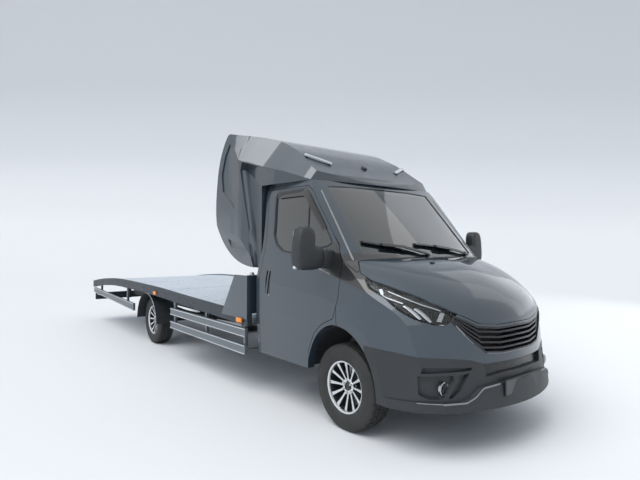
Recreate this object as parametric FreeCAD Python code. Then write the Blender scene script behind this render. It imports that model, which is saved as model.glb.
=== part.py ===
import FreeCAD, Part
import math
import os

os.makedirs("parts", exist_ok=True)
V = FreeCAD.Vector

# Car transporter truck, in millimetres. X points forward, Y to the left and Z up.
# While it is modelled, X counts from the front axle. At the end each piece is moved
# forward, so that the origin lies on the ground under the middle of the truck.

# Whole vehicle
LENGTH = 8400.0
FRONT_OVERHANG = 1060.0
WHEELBASE = 4350.0
BODY_THICK = 75.0
WING_THICK = 25.0
JAMB_SEAT = 25.0
SEAM = 5.0
FIT_GAP = 0.3
CUT_OVER = 200.0

# Wheels and hubs
TYRE_RADIUS = 350.0
TYRE_WIDTH = 225.0
RIM_RADIUS = 203.0
RIM_WIDTH = 190.0
FRONT_TRACK = 1625.0
REAR_TRACK = 1640.0
SPINDLE_RADIUS = 32.0
SPINDLE_GAP = 0.05
HUB_RADIUS = 66.0
SPOKE_COUNT = 12
SPOKE_WIDTH = 15.0
SPOKE_DEPTH = 22.0
RIM_WALL = 9.0
KINGPIN_Y = 625.0
KINGPIN_RADIUS = 24.0

# Cab
CAB_LENGTH = 2295.0
CAB_REAR = FRONT_OVERHANG - CAB_LENGTH
CAB_TOP = 2100.0
CAB_HALF = 1000.0
SILL_Z = 430.0
FLOOR_Z = 800.0
FLOOR_THICK = 32.0
DOOR_THICK = 60.0
GLASS_THICK = 6.0
GLASS_SET = 6.0
BONNET_THICK = 22.0
BONNET_GAP = 8.0
GUTTER = 25.0
LAMP_DEPTH = 60.0
BUMPER_THICK = 40.0
FIREWALL_X = 120.0
COWL_X = 175.0
ARCH_HALF = 412.0
ARCH_HIGH = 505.0
LINER_HALF = 480.0
LINER_HIGH = 490.0
LINER_OUTER_Y = 885.0
WHEEL_BOX_THICK = 20.0
LINER_THICK = 8.0
LINER_INNER_Y = 470.0

# Frame and platform
FRAME_HALF = 400.0
RAIL_WIDE = 65.0
RAIL_HIGH = 160.0
FRAME_TOP = 655.0
RAIL_WALL = 8.0
FRAME_FRONT = 780.0
DECK_FRONT = -1300.0
DECK_LENGTH = 6040.0
DECK_HIGH = 900.0
DECK_THICK = 30.0
DECK_HALF = 1050.0
SIDE_RAIL_WIDE = 55.0
SIDE_RAIL_HIGH = 120.0
DECK_DROP = 12.0
BEARER_HIGH = 50.0
BEARER_WIDE = 40.0
BEARER_COUNT = 11

# Roof fairing with the sleeping pod
POD_LENGTH = 1800.0
POD_REAR = -2200.0
POD_BOTTOM = 1215.0
POD_HEIGHT = 1555.0
POD_HALF = 1000.0
POD_WALL = 30.0
POD_LIP_X = -470.0
POD_RECESS = 90.0
POD_PANEL = 12.0
POD_SCOOP = 40.0
POD_TUCK_SHARE = 0.22

# Nose, lamps and door handles
ARCH_LIP = 22.0
LAMP_INNER_SHARE = 0.5
LAMP_GAP = 11.0
FOG_Y = 760.0
FOG_Z = 505.0
FOG_RADIUS = 52.0
FOG_DEEP = 28.0
LIP_OUT = 27.0
SLAT_COUNT = 4
SLAT_HIGH = 14.0
SLAT_SET = 8.0
MESH_SET = 28.0
DOOR_REACH_SHARE = 0.72
HANDLE_DEEP = 26.0
HANDLE_THICK = 14.0
HANDLE_WIDE = 24.0

# Mirrors and wipers
MIRROR_X = -230.0
MIRROR_LONG = 110.0
MIRROR_OUT = 1290.0
MIRROR_EDGE = 28.0
WIPER_OFF = 12.0
WIPER_WIDE = 14.0
PIVOT_RADIUS = 15.0

# Dashboard, steering wheel and seats
WHEEL_RING = 190.0
WHEEL_TUBE = 15.0
WHEEL_TILT = 35.0
DRIVER_Y = 430.0
SEAT_LONG = 480.0
SEAT_HIGH = 130.0
SEAT_TOP = 1110.0
SEAT_BACK_X = -1130.0

# Tail of the frame and its hitch bolts
FRAME_TAIL = -6900.0
HITCH_HOLE_RADIUS = 5.5
HITCH_WIDE = 83.0
HITCH_HIGH = 56.0

# Axles and springs
AXLE_R = -WHEELBASE
AXLE_TUBE = 52.0
DIFF_RADIUS = 150.0
DISC_RADIUS = 150.0
DISC_THICK = 28.0
DISC_SET = 30.0
HUB_LONG = 30.0
SPRING_LENGTH = 1500.0
SPRING_SAG = 45.0
SPRING_THICK = 36.0
SPRING_WIDE = 70.0
BEAM_RADIUS = 45.0
BEAM_Z = 260.0
KNUCKLE_HIGH = 190.0
KNUCKLE_WALL = 20.0

# Engine, drive and tank
ENGINE_LONG = 520.0
ENGINE_WIDE = 560.0
ENGINE_LOW = 430.0
ENGINE_TOP = 980.0
ENGINE_FRONT = 700.0
GEARBOX_LONG = 800.0
SHAFT_RADIUS = 38.0
TANK_LONG = 900.0
TANK_WIDE = 420.0
TANK_HIGH = 260.0

# Headboard, guards and lamps of the platform
HEADBOARD_TOP = 1190.0
HEADBOARD_THICK = 30.0
PLATE_THICK = 6.0
GUARD_THICK = 30.0
GUARD_FRONT = -1210.0
GUARD_LONG = 2110.0
GUARD_HIGH = 88.0
GUARD_LOW_Z = 388.0
GUARD_TOP_Z = 563.0
POST_WIDE = 45.0
REAR_POST_X = -5300.0
UNDERRUN_HIGH = 130.0
UNDERRUN_LOW = 400.0
UNDERRUN_THICK = 40.0
TAIL_LAMP_WIDE = 320.0
TAIL_LAMP_HIGH = 100.0
TAIL_LAMP_DEEP = 25.0
MUDGUARD_RADIUS = 415.0
MUDGUARD_THICK = 6.0
MUDGUARD_WIDE = 290.0
MARKER_LONG = 100.0
MARKER_HIGH = 45.0
MARKER_DEEP = 18.0


def at_cab(point, y):
    return V(CAB_REAR + point[0] * CAB_LENGTH, y, point[1] * CAB_TOP)


def wire(points):
    return Part.makePolygon(points + [points[0]])


def prism(points, direction):
    return Part.Face(wire(points)).extrude(direction)


def prism_y(points, y0, y1):
    return prism([V(p[0], y0, p[1]) for p in points], V(0, y1 - y0, 0))


def prism_x(points, x0, x1):
    return prism([V(x0, p[0], p[1]) for p in points], V(x1 - x0, 0, 0))


def prism_z(points, z0, z1):
    return prism([V(p[0], p[1], z0) for p in points], V(0, 0, z1 - z0))


def box(x0, x1, y0, y1, z0, z1):
    return Part.makeBox(x1 - x0, y1 - y0, z1 - z0, V(x0, y0, z0))


def rod_y(x, y0, y1, z, radius):
    return Part.makeCylinder(radius, y1 - y0, V(x, y0, z), V(0, 1, 0))


def rod_x(x0, x1, y, z, radius):
    return Part.makeCylinder(radius, x1 - x0, V(x0, y, z), V(1, 0, 0))


def rod_z(x, y, z0, z1, radius):
    return Part.makeCylinder(radius, z1 - z0, V(x, y, z0), V(0, 0, 1))


def mirrored(shape):
    return shape.mirror(V(0, 0, 0), V(0, 1, 0))


def joined(shapes):
    whole = shapes[0]
    if len(shapes) > 1:
        whole = whole.fuse(shapes[1:])
    return whole.removeSplitter()


def solids_of(shapes):
    found = []
    for shape in shapes:
        found += shape.Solids
    return found


def export(name, shapes):
    found = solids_of(shapes)
    shape = found[0] if len(found) == 1 else Part.makeCompound(found)
    moved = shape.translated(V(LENGTH / 2 - FRONT_OVERHANG, 0, 0))
    moved.exportStep("parts/" + name + ".step")
    return moved


def curve(points):
    spline = Part.BSplineCurve()
    spline.interpolate(points)
    return spline.toShape()


# The side view of the cab at five distances from the middle, as shares of the cab's
# length, height and half width: roof front, screen foot, four points of the bonnet
# and nose, and the foot of the bumper.
cab_side_shares = [
    (0.0, (0.3203, 1), (0.6122, 0.6667), (0.7647, 0.6333), (0.8867, 0.5714), (0.9412, 0.5167),
     (0.9673, 0.4571), (0.99, 0.1333)),
    (0.45, (0.3181, 1), (0.5991, 0.6652), (0.7473, 0.6238), (0.8584, 0.5595), (0.9063, 0.5119),
     (0.9325, 0.4548), (0.9608, 0.1333)),
    (0.75, (0.3115, 1), (0.5752, 0.6619), (0.7124, 0.6071), (0.8039, 0.5429), (0.8431, 0.5024),
     (0.8715, 0.45), (0.9041, 0.1333)),
    (0.89, (0.3007, 1), (0.5556, 0.6548), (0.6732, 0.5929), (0.756, 0.5333), (0.7952, 0.4976),
     (0.8235, 0.4452), (0.8627, 0.1333)),
    (1.03, (0.2767, 1), (0.5251, 0.6381), (0.6209, 0.5762), (0.6906, 0.5262), (0.7342, 0.4905),
     (0.7647, 0.4405), (0.8039, 0.1333)),
]
# The plan of the lower cab from the middle of the nose to the rear corner
cab_plan_shares = [(0.9978, 0), (0.9913, 0.3), (0.9673, 0.5), (0.9303, 0.65), (0.8824, 0.79),
                   (0.7996, 0.92), (0.6906, 0.985), (0.5599, 1), (0, 0.985)]
# Half width of the cab against height, in two curves that meet at the side crease
cab_low_shares = [(0.952, 0.1333), (0.962, 0.2048), (0.974, 0.3143), (1, 0.4286)]
cab_high_shares = [(1, 0.4286), (0.996, 0.5143), (0.968, 0.5952), (0.93, 0.6667), (0.885, 0.8333),
                   (0.848, 0.981), (0.835, 1)]


def cab_section(row, sign):
    y = sign * row[0] * CAB_HALF
    p = [at_cab(point, y) for point in row[1:]]
    rear_top = V(CAB_REAR - CUT_OVER, y, p[0].z)
    rear_low = V(CAB_REAR - CUT_OVER, y, p[-1].z)
    edges = [Part.makeLine(rear_low, rear_top), Part.makeLine(rear_top, p[0]),
             Part.makeLine(p[0], p[1]), curve(p[1:6]), Part.makeLine(p[5], p[6]),
             Part.makeLine(p[6], rear_low)]
    return Part.Wire(edges)


made = {}


def cab_solid(inset):
    # The cab's outer form, or the same form set in by a wall
    if inset not in made:
        made[inset] = cab_form(inset)
    return made[inset]


def across_solid(inset):
    # The cab's front view, carried along its whole length
    halves = []
    for table in (cab_low_shares, cab_high_shares):
        side = [(s[0] * CAB_HALF - inset, s[1] * CAB_TOP) for s in table]
        left = curve([V(CAB_REAR, p[0], p[1]) for p in side])
        right = curve([V(CAB_REAR, -p[0], p[1]) for p in reversed(side)])
        halves.append((left, right, side))
    (low_left, low_right, low), (high_left, high_right, high) = halves
    top = Part.makeLine(V(CAB_REAR, high[-1][0], high[-1][1]), V(CAB_REAR, -high[-1][0], high[-1][1]))
    foot = Part.makeLine(V(CAB_REAR, -low[0][0], low[0][1]), V(CAB_REAR, low[0][0], low[0][1]))
    outline = Part.Wire([low_left, high_left, top, high_right, low_right, foot])
    return Part.Face(outline).extrude(V(CAB_LENGTH + CUT_OVER, 0, 0))


def cab_form(inset):
    rows = [cab_section(row, -1) for row in reversed(cab_side_shares[1:])]
    rows += [cab_section(row, 1) for row in cab_side_shares]
    lengthwise = Part.makeLoft(rows, True, False).translated(V(-inset, 0, -inset))
    last = len(cab_plan_shares) - 1
    half = [(CAB_REAR + s[0] * CAB_LENGTH - inset * (i < 5), max(s[1] * CAB_HALF - inset, 0))
            for i, s in enumerate(cab_plan_shares)]
    half[last] = (CAB_REAR + inset, half[last][1])
    low, high = -CUT_OVER, CAB_TOP + CUT_OVER
    left = [V(p[0], p[1], low) for p in half]
    right = [V(p[0], -p[1], low) for p in half]
    nose = curve([right[i] for i in range(last - 1, 0, -1)] + left[:last])
    sides = [nose, Part.makeLine(left[last - 1], left[last]), Part.makeLine(left[last], right[last]),
             Part.makeLine(right[last], right[last - 1])]
    plan = Part.Face(Part.Wire(sides)).extrude(V(0, 0, high - low))
    return lengthwise.common(plan).common(across_solid(inset))


def cab_points(table):
    return [(CAB_REAR + s[0] * CAB_LENGTH, s[1] * CAB_TOP) for s in table]


def grown(points, amount):
    # The same outline, set out by an amount on every side
    flat = Part.Face(wire([V(p[0], p[1], 0) for p in points]))
    wide = flat.makeOffset2D(amount, 2)
    return [(v.X, v.Y) for v in wide.OuterWire.OrderedVertexes]


door_shares = [(0.024, 0.2048), (0.024, 0.9619), (0.037, 0.9738), (0.2941, 0.9738), (0.3333, 0.9476),
               (0.5076, 0.7143), (0.5381, 0.6524), (0.5468, 0.5905), (0.5468, 0.5095), (0.5207, 0.4333),
               (0.451, 0.4), (0.4031, 0.3571), (0.3682, 0.2857), (0.3595, 0.2048)]
window_shares = [(0.0893, 0.7619), (0.0893, 0.9381), (0.1024, 0.9524), (0.2854, 0.9524), (0.3115, 0.9357),
                 (0.4684, 0.7262), (0.4423, 0.7143), (0.2331, 0.6833), (0.1634, 0.6929), (0.1155, 0.719)]
screen_shares = [(-0.755, 0.6786), (-0.45, 0.6762), (0.45, 0.6762), (0.755, 0.6786), (0.7, 0.9738),
                 (0.4, 0.981), (-0.4, 0.981), (-0.7, 0.9738)]
bonnet_shares = [(0.6253, 0), (0.6122, 0.45), (0.5904, 0.7), (0.5773, 0.83), (0.6253, 0.915), (0.6732, 0.9),
                 (0.7603, 0.81), (0.8431, 0.695), (0.8867, 0.6), (0.9085, 0.545), (1.061, 0.5), (1.061, 0)]
# The front edge of the bonnet, which dips in a wide V over the grille
lid_front_shares = [(-1.2, 0.5048), (-0.6, 0.4905), (-0.51, 0.469), (-0.427, 0.449), (-0.23, 0.439),
                    (0, 0.4414), (0.23, 0.439), (0.427, 0.449), (0.51, 0.469), (0.6, 0.4905), (1.2, 0.5048)]
lamp_shares = [(0.6427, 0.619), (0.9521, 0.619), (0.9521, 0.4857), (0.9041, 0.481), (0.8989, 0.4548),
               (0.8911, 0.441), (0.8702, 0.4481), (0.8344, 0.4638), (0.7969, 0.4886), (0.7438, 0.5286),
               (0.6819, 0.561), (0.6558, 0.5881)]
grille_top_shares = [(-0.6, 0.4762), (-0.515, 0.4581), (-0.43, 0.4381), (-0.23, 0.4286), (0, 0.431)]
grille_low_shares = [(-0.636, 0.4548), (-0.5, 0.3905), (-0.377, 0.3438), (-0.2, 0.3371), (0, 0.339)]
intake_shares = [(-0.4, 0.3071), (0.4, 0.3071), (0.385, 0.2648), (0.2, 0.2724), (-0.2, 0.2724),
                 (-0.385, 0.2648)]
bumper_shares = [(0.6688, 0.3581), (0.7821, 0.3514), (0.8458, 0.3419), (0.9046, 0.3348), (0.9325, 0.3276),
                 (0.9521, 0.3095), (1.1046, 0.3095), (1.1046, 0.1595), (0.6688, 0.1595)]
# The lower lip of the bumper and the pockets round its fog lamps, seen from the front
lip_shares = [(-1.2, 0.1929), (-0.61, 0.1929), (-0.536, 0.2071), (-0.458, 0.2343), (-0.36, 0.2405),
              (0, 0.2438), (0.36, 0.2405), (0.458, 0.2343), (0.536, 0.2071), (0.61, 0.1929), (1.2, 0.1929),
              (1.2, 0.1595), (-1.2, 0.1595)]
slot_shares = [(0.835, 0.3071), (0.5, 0.301), (0.505, 0.2914), (0.84, 0.2871)]
fog_shares = [(0.855, 0.2786), (0.645, 0.2786), (0.64, 0.2619), (0.725, 0.2048), (0.8, 0.2024),
              (0.85, 0.2167)]
wedge_shares = [(0.61, 0.2762), (0.525, 0.2833), (0.6, 0.2262), (0.66, 0.2048), (0.69, 0.2048),
                (0.615, 0.2595)]
handle_shares = [(0.0741, 0.4905), (0.0741, 0.5952), (0.1024, 0.5952), (0.1068, 0.581), (0.1068, 0.5),
                 (0.1024, 0.4905)]


def bonnet_points():
    half = [(CAB_REAR + s[0] * CAB_LENGTH, s[1] * CAB_HALF) for s in bonnet_shares]
    return half + [(p[0], -p[1]) for p in reversed(half[1:-1])]


def front_points(table):
    return [(s[0] * CAB_HALF, s[1] * CAB_TOP) for s in table]


OUTER = cab_solid(0)
INNER = cab_solid(BODY_THICK)
WALL = OUTER.cut(INNER)


def arch_hole(half, high, y0, y1):
    # A half-round opening over a front wheel
    side = Part.makeCylinder(half, y1 - y0, V(0, y0, 0), V(0, 1, 0))
    matrix = FreeCAD.Matrix()
    matrix.scale(1, 1, high / half)
    return side.transformGeometry(matrix).translated(V(0, 0, TYRE_RADIUS))


def door(side):
    points = cab_points(door_shares)
    region = prism_y(points, CAB_HALF * DOOR_REACH_SHARE, CAB_HALF + CUT_OVER)
    slab = OUTER.cut(across_solid(DOOR_THICK)).common(region)
    window = prism_y(cab_points(window_shares), 0, CAB_HALF + CUT_OVER)
    pocket = prism_y(cab_points(handle_shares), 0, CAB_HALF + CUT_OVER).cut(across_solid(HANDLE_DEEP))
    piece = joined([slab.cut([window, pocket]), door_handle()])
    return piece if side > 0 else mirrored(piece)


def door_handle():
    # An upright bar across the pocket in the door's skin
    x, z = at_cab(handle_shares[0], 0).x, at_cab(handle_shares[0], 0).z
    top = at_cab(handle_shares[1], 0).z
    bar = box(x + HANDLE_WIDE, x + HANDLE_WIDE * 2, 0, CAB_HALF + CUT_OVER, z - SEAM, top + SEAM)
    return bar.common(across_solid(0)).cut(across_solid(HANDLE_THICK))


def door_glass(side):
    points = grown(cab_points(window_shares), -FIT_GAP)
    region = prism_y(points, 0, CAB_HALF + CUT_OVER)
    sheet = cab_solid(GLASS_SET).cut(cab_solid(GLASS_SET + GLASS_THICK)).common(region)
    return sheet if side > 0 else mirrored(sheet)


def screen_region(gap):
    points = grown(front_points(screen_shares), gap)
    return prism_x(points, CAB_REAR + CAB_LENGTH / 3, FRONT_OVERHANG + CUT_OVER)


def door_opening():
    # The opening in the cab is stepped, so that the door closes against a seat
    half = CAB_HALF + CUT_OVER
    wide = prism_y(grown(cab_points(door_shares), SEAM), -half,
                   half).cut(across_solid(DOOR_THICK + FIT_GAP))
    through = prism_y(grown(cab_points(door_shares), -JAMB_SEAT), CAB_HALF * DOOR_REACH_SHARE,
                      half).cut(INNER)
    return wide.fuse([through, mirrored(through)])


def lid_region(grow):
    # Everything above the bonnet's outline, set out by an amount
    over = prism_z(grown(bonnet_points(), grow), 0, CAB_TOP + CUT_OVER)
    front = front_points(lid_front_shares)
    ends = [(front[-1][0], CAB_TOP + CUT_OVER), (front[0][0], CAB_TOP + CUT_OVER)]
    return over.common(prism_x(grown(front + ends, grow), 0, FRONT_OVERHANG + CUT_OVER))


def cab_shell():
    hole = door_opening()
    half = CAB_HALF + CUT_OVER
    under_wing = cab_solid(WING_THICK + FIT_GAP).cut(INNER)
    shell = WALL.common(box(CAB_REAR - CUT_OVER, 0, -half, half, SILL_Z, CAB_TOP + CUT_OVER))
    pillar = under_wing.common(box(0, FIREWALL_X + FLOOR_THICK, -half, half, SILL_Z, CAB_TOP * 0.66))
    cowl_half = CAB_HALF * 0.93
    cowl = WALL.common(box(0, COWL_X, -cowl_half, cowl_half, CAB_TOP * 0.61, CAB_TOP))
    cowl = cowl.cut(prism_z(grown(bonnet_points(), BONNET_GAP), 0, CAB_TOP + CUT_OVER))
    floor = INNER.common(box(CAB_REAR, FIREWALL_X, -half, half, FLOOR_Z - FLOOR_THICK, FLOOR_Z))
    wall = INNER.common(box(FIREWALL_X, FIREWALL_X + FLOOR_THICK, -half, half, FLOOR_Z - FLOOR_THICK,
                            CAB_TOP))
    out = LINER_THICK + FIT_GAP
    boxes = []
    for sign in (1, -1):
        y0 = min(sign * LINER_INNER_Y, sign * LINER_OUTER_Y)
        y1 = max(sign * LINER_INNER_Y, sign * LINER_OUTER_Y)
        over = arch_hole(LINER_HALF + out + WHEEL_BOX_THICK, LINER_HIGH + out + WHEEL_BOX_THICK,
                         y0 - WHEEL_BOX_THICK, y1 + WHEEL_BOX_THICK)
        boxes.append(over.common(box(CAB_REAR, FIREWALL_X + FLOOR_THICK, -half, half, FLOOR_Z - FLOOR_THICK,
                                     CAB_TOP)))
    hollow = [arch_hole(LINER_HALF + out, LINER_HIGH + out, LINER_INNER_Y - FIT_GAP, LINER_OUTER_Y + SEAM)]
    hollow.append(mirrored(hollow[0]))
    whole = joined([shell, pillar, cowl, floor, wall] + boxes)
    for sign in (1, -1):
        y0 = min(sign * LINER_OUTER_Y, sign * half)
        hollow.append(arch_hole(ARCH_HALF + SEAM, ARCH_HIGH + SEAM, y0, y0 + half - LINER_OUTER_Y))
    side = FRAME_HALF + SEAM
    hollow.append(box(CAB_REAR - CUT_OVER, FRONT_OVERHANG, -side, side, 0, FRAME_TOP + FIT_GAP))
    whole = whole.cut([hole, screen_region(0)] + hollow)
    return max(whole.Solids, key=lambda s: s.Volume)


def windscreen():
    sheet = cab_solid(GLASS_SET).cut(cab_solid(GLASS_SET + GLASS_THICK))
    return sheet.common(screen_region(-FIT_GAP))


def bonnet():
    return OUTER.cut(cab_solid(BONNET_THICK)).common(lid_region(0))


def lamp_region(grow):
    half = CAB_HALF + CUT_OVER
    both = prism_y(grown(cab_points(lamp_shares), grow), -half, half)
    inner = CAB_HALF * LAMP_INNER_SHARE
    return both.cut(box(0, FRONT_OVERHANG + CUT_OVER, -inner + grow, inner - grow, 0, CAB_TOP))


def grille_points():
    top = front_points(grille_top_shares)
    low = front_points(grille_low_shares)
    right = [(-p[0], p[1]) for p in reversed(top[:-1])]
    low_right = [(-p[0], p[1]) for p in low[:-1]]
    return top + right + low_right + list(reversed(low))


def grille_region(grow):
    return prism_x(grown(grille_points(), grow), CAB_LENGTH * 0.2, FRONT_OVERHANG + CUT_OVER)


def bumper_region(grow):
    half = CAB_HALF + CUT_OVER
    return prism_y(grown(cab_points(bumper_shares), grow), -half, half)


def front_wings():
    # Painted skin of the nose, with the gutter that the bonnet closes on
    half = CAB_HALF + CUT_OVER
    skin = OUTER.cut(cab_solid(WING_THICK))
    nose = skin.common(box(SEAM, FRONT_OVERHANG + CUT_OVER, -half, half, SILL_Z, CAB_TOP))
    nose = nose.cut(lid_region(SEAM))
    gutter = cab_solid(BONNET_THICK + FIT_GAP).cut(cab_solid(BONNET_THICK + GUTTER))
    gutter = gutter.common(lid_region(BONNET_GAP * 2)).cut(lid_region(-GUTTER))
    gutter = gutter.common(box(COWL_X, FRONT_OVERHANG + CUT_OVER, -half, half, SILL_Z, CAB_TOP))
    hole = prism_y(grown(cab_points(door_shares), SEAM), -half, half)
    arch = arch_hole(ARCH_HALF, ARCH_HIGH, -half, half)
    cowl_half = CAB_HALF * 0.93 + SEAM
    cowl = box(0, COWL_X + SEAM, -cowl_half, cowl_half, CAB_TOP * 0.61 - SEAM, CAB_TOP)
    whole = joined([nose, gutter, arch_lip().cut(bumper_region(FIT_GAP))])
    whole = whole.cut([lamp_region(FIT_GAP), grille_region(FIT_GAP), hole, bumper_region(FIT_GAP), arch,
                       cowl])
    return [piece for piece in whole.Solids if piece.Volume > WING_THICK * WING_THICK * WING_THICK]


def arch_lip():
    # The folded edge of the wing round the wheel opening, from the door to the bumper
    half = CAB_HALF + CUT_OVER
    ring = arch_hole(ARCH_HALF + ARCH_LIP, ARCH_HIGH + ARCH_LIP, -half, half)
    fold = OUTER.cut(across_solid(WING_THICK + ARCH_LIP)).common(ring)
    behind = FIREWALL_X + FLOOR_THICK + SEAM
    return fold.common(box(behind, FRONT_OVERHANG, -half, half, SILL_Z, CAB_TOP))


def headlamps():
    # Main lamps under the bonnet's edge, and round fog lamps in the bumper
    skin = OUTER.cut(cab_solid(LAMP_DEPTH)).common(lamp_region(0))
    lid = lid_region(LAMP_GAP).cut(cab_solid(BONNET_THICK + GUTTER + FIT_GAP))
    gutter = lid_region(BONNET_GAP * 2 + FIT_GAP)
    gutter = gutter.cut(cab_solid(BONNET_THICK + GUTTER + FIT_GAP)).common(cab_solid(BONNET_THICK))
    whole = skin.cut([lid, gutter, grille_region(FIT_GAP)])
    lamps = [piece for piece in whole.Solids if piece.Volume > LAMP_DEPTH * LAMP_DEPTH * LAMP_DEPTH]
    fog = rod_x(0, FRONT_OVERHANG, FOG_Y, FOG_Z, FOG_RADIUS)
    fog = fog.common(cab_solid(FOG_DEEP / 2)).cut(cab_solid(FOG_DEEP - FIT_GAP))
    return lamps + [fog, mirrored(fog)]


def front_bumper():
    # Black plastic with a deep intake, pockets round the fog lamps and a forward lip
    half = CAB_HALF + CUT_OVER
    skin = OUTER.cut(cab_solid(BUMPER_THICK)).common(bumper_region(0))
    pockets = []
    for table in (slot_shares, fog_shares, wedge_shares):
        pocket = prism_x(front_points(table), 0, FRONT_OVERHANG + CUT_OVER).cut(cab_solid(FOG_DEEP))
        pockets += [pocket, mirrored(pocket)]
    intake = prism_x(front_points(intake_shares), 0, FRONT_OVERHANG + CUT_OVER)
    ahead = V(LIP_OUT, 0, 0)
    lip = OUTER.translated(ahead).cut(cab_solid(BUMPER_THICK / 2))
    lip = lip.common(prism_x(front_points(lip_shares), ARCH_HALF, FRONT_OVERHANG + CUT_OVER))
    whole = joined([skin.cut(pockets + [intake]), lip])
    arch = arch_hole(ARCH_HALF, ARCH_HIGH, -half, half)
    return whole.cut([arch, grille_region(FIT_GAP)])


def grille():
    # Slats that follow the V of the frame and the curve of the nose, with a mesh below
    band = OUTER.cut(cab_solid(BUMPER_THICK))
    frame = band.common(grille_region(0)).cut(grille_region(-SLAT_HIGH))
    top = front_points(grille_top_shares)
    low = front_points(grille_low_shares)
    pieces = [frame]
    for i in range(SLAT_COUNT):
        share = (i + 1) / (SLAT_COUNT + 1)
        line = [(t[0] + (b[0] - t[0]) * share, t[1] + (b[1] - t[1]) * share) for t, b in zip(top, low)]
        upper = [(p[0], p[1] + SLAT_HIGH / 2) for p in line]
        under = [(p[0], p[1] - SLAT_HIGH / 2) for p in line]
        half = upper + list(reversed(under))
        slat = prism_x(half, CAB_LENGTH * 0.2, FRONT_OVERHANG + CUT_OVER)
        pieces.append(band.common(cab_solid(SLAT_SET)).common(slat).common(grille_region(0)))
        pieces.append(mirrored(pieces[-1]))
    mesh = cab_solid(MESH_SET).cut(cab_solid(BUMPER_THICK))
    mesh = mesh.common(prism_x(grown(front_points(intake_shares), -FIT_GAP), 0, FRONT_OVERHANG))
    return [joined(pieces), mesh]


deck_shares = [(0, 0.8922), (0.0894, 0.9111), (0.207, 0.9333), (0.2947, 0.9522), (0.3957, 0.9767),
               (0.5066, 0.99), (0.6242, 0.9978), (0.7285, 0.9956), (0.8278, 0.9667), (1, 0.8511)]


def deck_curve(drop):
    points = [V(DECK_FRONT - s[0] * DECK_LENGTH, 0, s[1] * DECK_HIGH - drop) for s in deck_shares]
    return points


def deck_band(top_drop, low_drop, y0, y1):
    top = deck_curve(top_drop)
    low = deck_curve(low_drop)
    edges = [curve(top), Part.makeLine(top[-1], low[-1]), curve(list(reversed(low))),
             Part.makeLine(low[0], top[0])]
    return Part.Face(Part.Wire(edges)).extrude(V(0, y1 - y0, 0)).translated(V(0, y0, 0))


def deck_height(x, drop):
    # Height of the arched deck line over one place
    spline = Part.BSplineCurve()
    spline.interpolate(deck_curve(drop))
    low, high = spline.FirstParameter, spline.LastParameter
    for i in range(40):
        middle = (low + high) / 2
        if spline.value(middle).x > x:
            low = middle
        else:
            high = middle
    return spline.value(low).z


def platform_deck():
    half = DECK_HALF - SIDE_RAIL_WIDE - FIT_GAP
    return deck_band(DECK_DROP, DECK_DROP + DECK_THICK, -half, half)


def side_rails():
    rail = deck_band(0, SIDE_RAIL_HIGH, DECK_HALF - SIDE_RAIL_WIDE, DECK_HALF)
    return [rail, mirrored(rail)]


def bearers():
    half = DECK_HALF - SIDE_RAIL_WIDE - FIT_GAP
    under = deck_band(DECK_DROP + DECK_THICK, DECK_DROP + DECK_THICK + BEARER_HIGH, -half, half)
    pieces = []
    step = (DECK_LENGTH - BEARER_WIDE) / (BEARER_COUNT - 1)
    for i in range(BEARER_COUNT):
        x = DECK_FRONT - BEARER_WIDE - i * step
        pieces.append(under.common(box(x, x + BEARER_WIDE, -half, half, 0, DECK_HIGH)))
    deep = deck_band(DECK_DROP + DECK_THICK, DECK_HIGH, FRAME_HALF - RAIL_WIDE, FRAME_HALF)
    tail = FRAME_TAIL
    runner = deep.common(box(tail, DECK_FRONT, 0, DECK_HALF, FRAME_TOP, DECK_HIGH))
    pieces += [runner, mirrored(runner)]
    return joined(pieces)


mount_shares = [0.12, 0.50]
cross_shares = [0.0, 0.17, 0.26, 0.43, 0.60, 0.765, 0.9915]


def chassis_frame():
    outer = box(FRAME_TAIL, FRAME_FRONT, FRAME_HALF - RAIL_WIDE, FRAME_HALF, FRAME_TOP - RAIL_HIGH,
                FRAME_TOP)
    hollow = box(FRAME_TAIL - CUT_OVER, FRAME_FRONT + CUT_OVER, FRAME_HALF - RAIL_WIDE - CUT_OVER,
                 FRAME_HALF - RAIL_WALL, FRAME_TOP - RAIL_HIGH + RAIL_WALL, FRAME_TOP - RAIL_WALL)
    rail = outer.cut(hollow)
    pieces = [rail, mirrored(rail)]
    inner = FRAME_HALF - RAIL_WALL
    for share in cross_shares:
        x = FRAME_TAIL + share * (FRAME_FRONT - FRAME_TAIL)
        cross = box(x, x + RAIL_WIDE, -inner, inner, FRAME_TOP - RAIL_HIGH * 0.85,
                    FRAME_TOP - RAIL_HIGH * 0.25)
        if share == 0:
            cross = cross.cut(hitch_holes())
        pieces.append(cross)
    for share in mount_shares:
        x = CAB_REAR + share * CAB_LENGTH
        for sign in (1, -1):
            y0 = sign * (FRAME_HALF - RAIL_WIDE / 2) - RAIL_WIDE / 2
            pieces.append(box(x, x + RAIL_WIDE, y0, y0 + RAIL_WIDE, FRAME_TOP - RAIL_WALL,
                              FLOOR_Z - FLOOR_THICK - FIT_GAP))
    return pieces[0].fuse(pieces[1:])


def hitch_holes():
    centre = FRAME_TOP - RAIL_HIGH * 0.55
    holes = []
    for y in (-HITCH_WIDE / 2, HITCH_WIDE / 2):
        for z in (centre - HITCH_HIGH / 2, centre + HITCH_HIGH / 2):
            holes.append(rod_x(FRAME_TAIL - RAIL_WIDE, FRAME_TAIL + RAIL_WIDE * 2, y, z, HITCH_HOLE_RADIUS))
    return holes


def hub_face(track):
    # Inner face of the wheel's mounting disc, counted from the middle
    return track / 2 + DISC_SET


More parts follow.
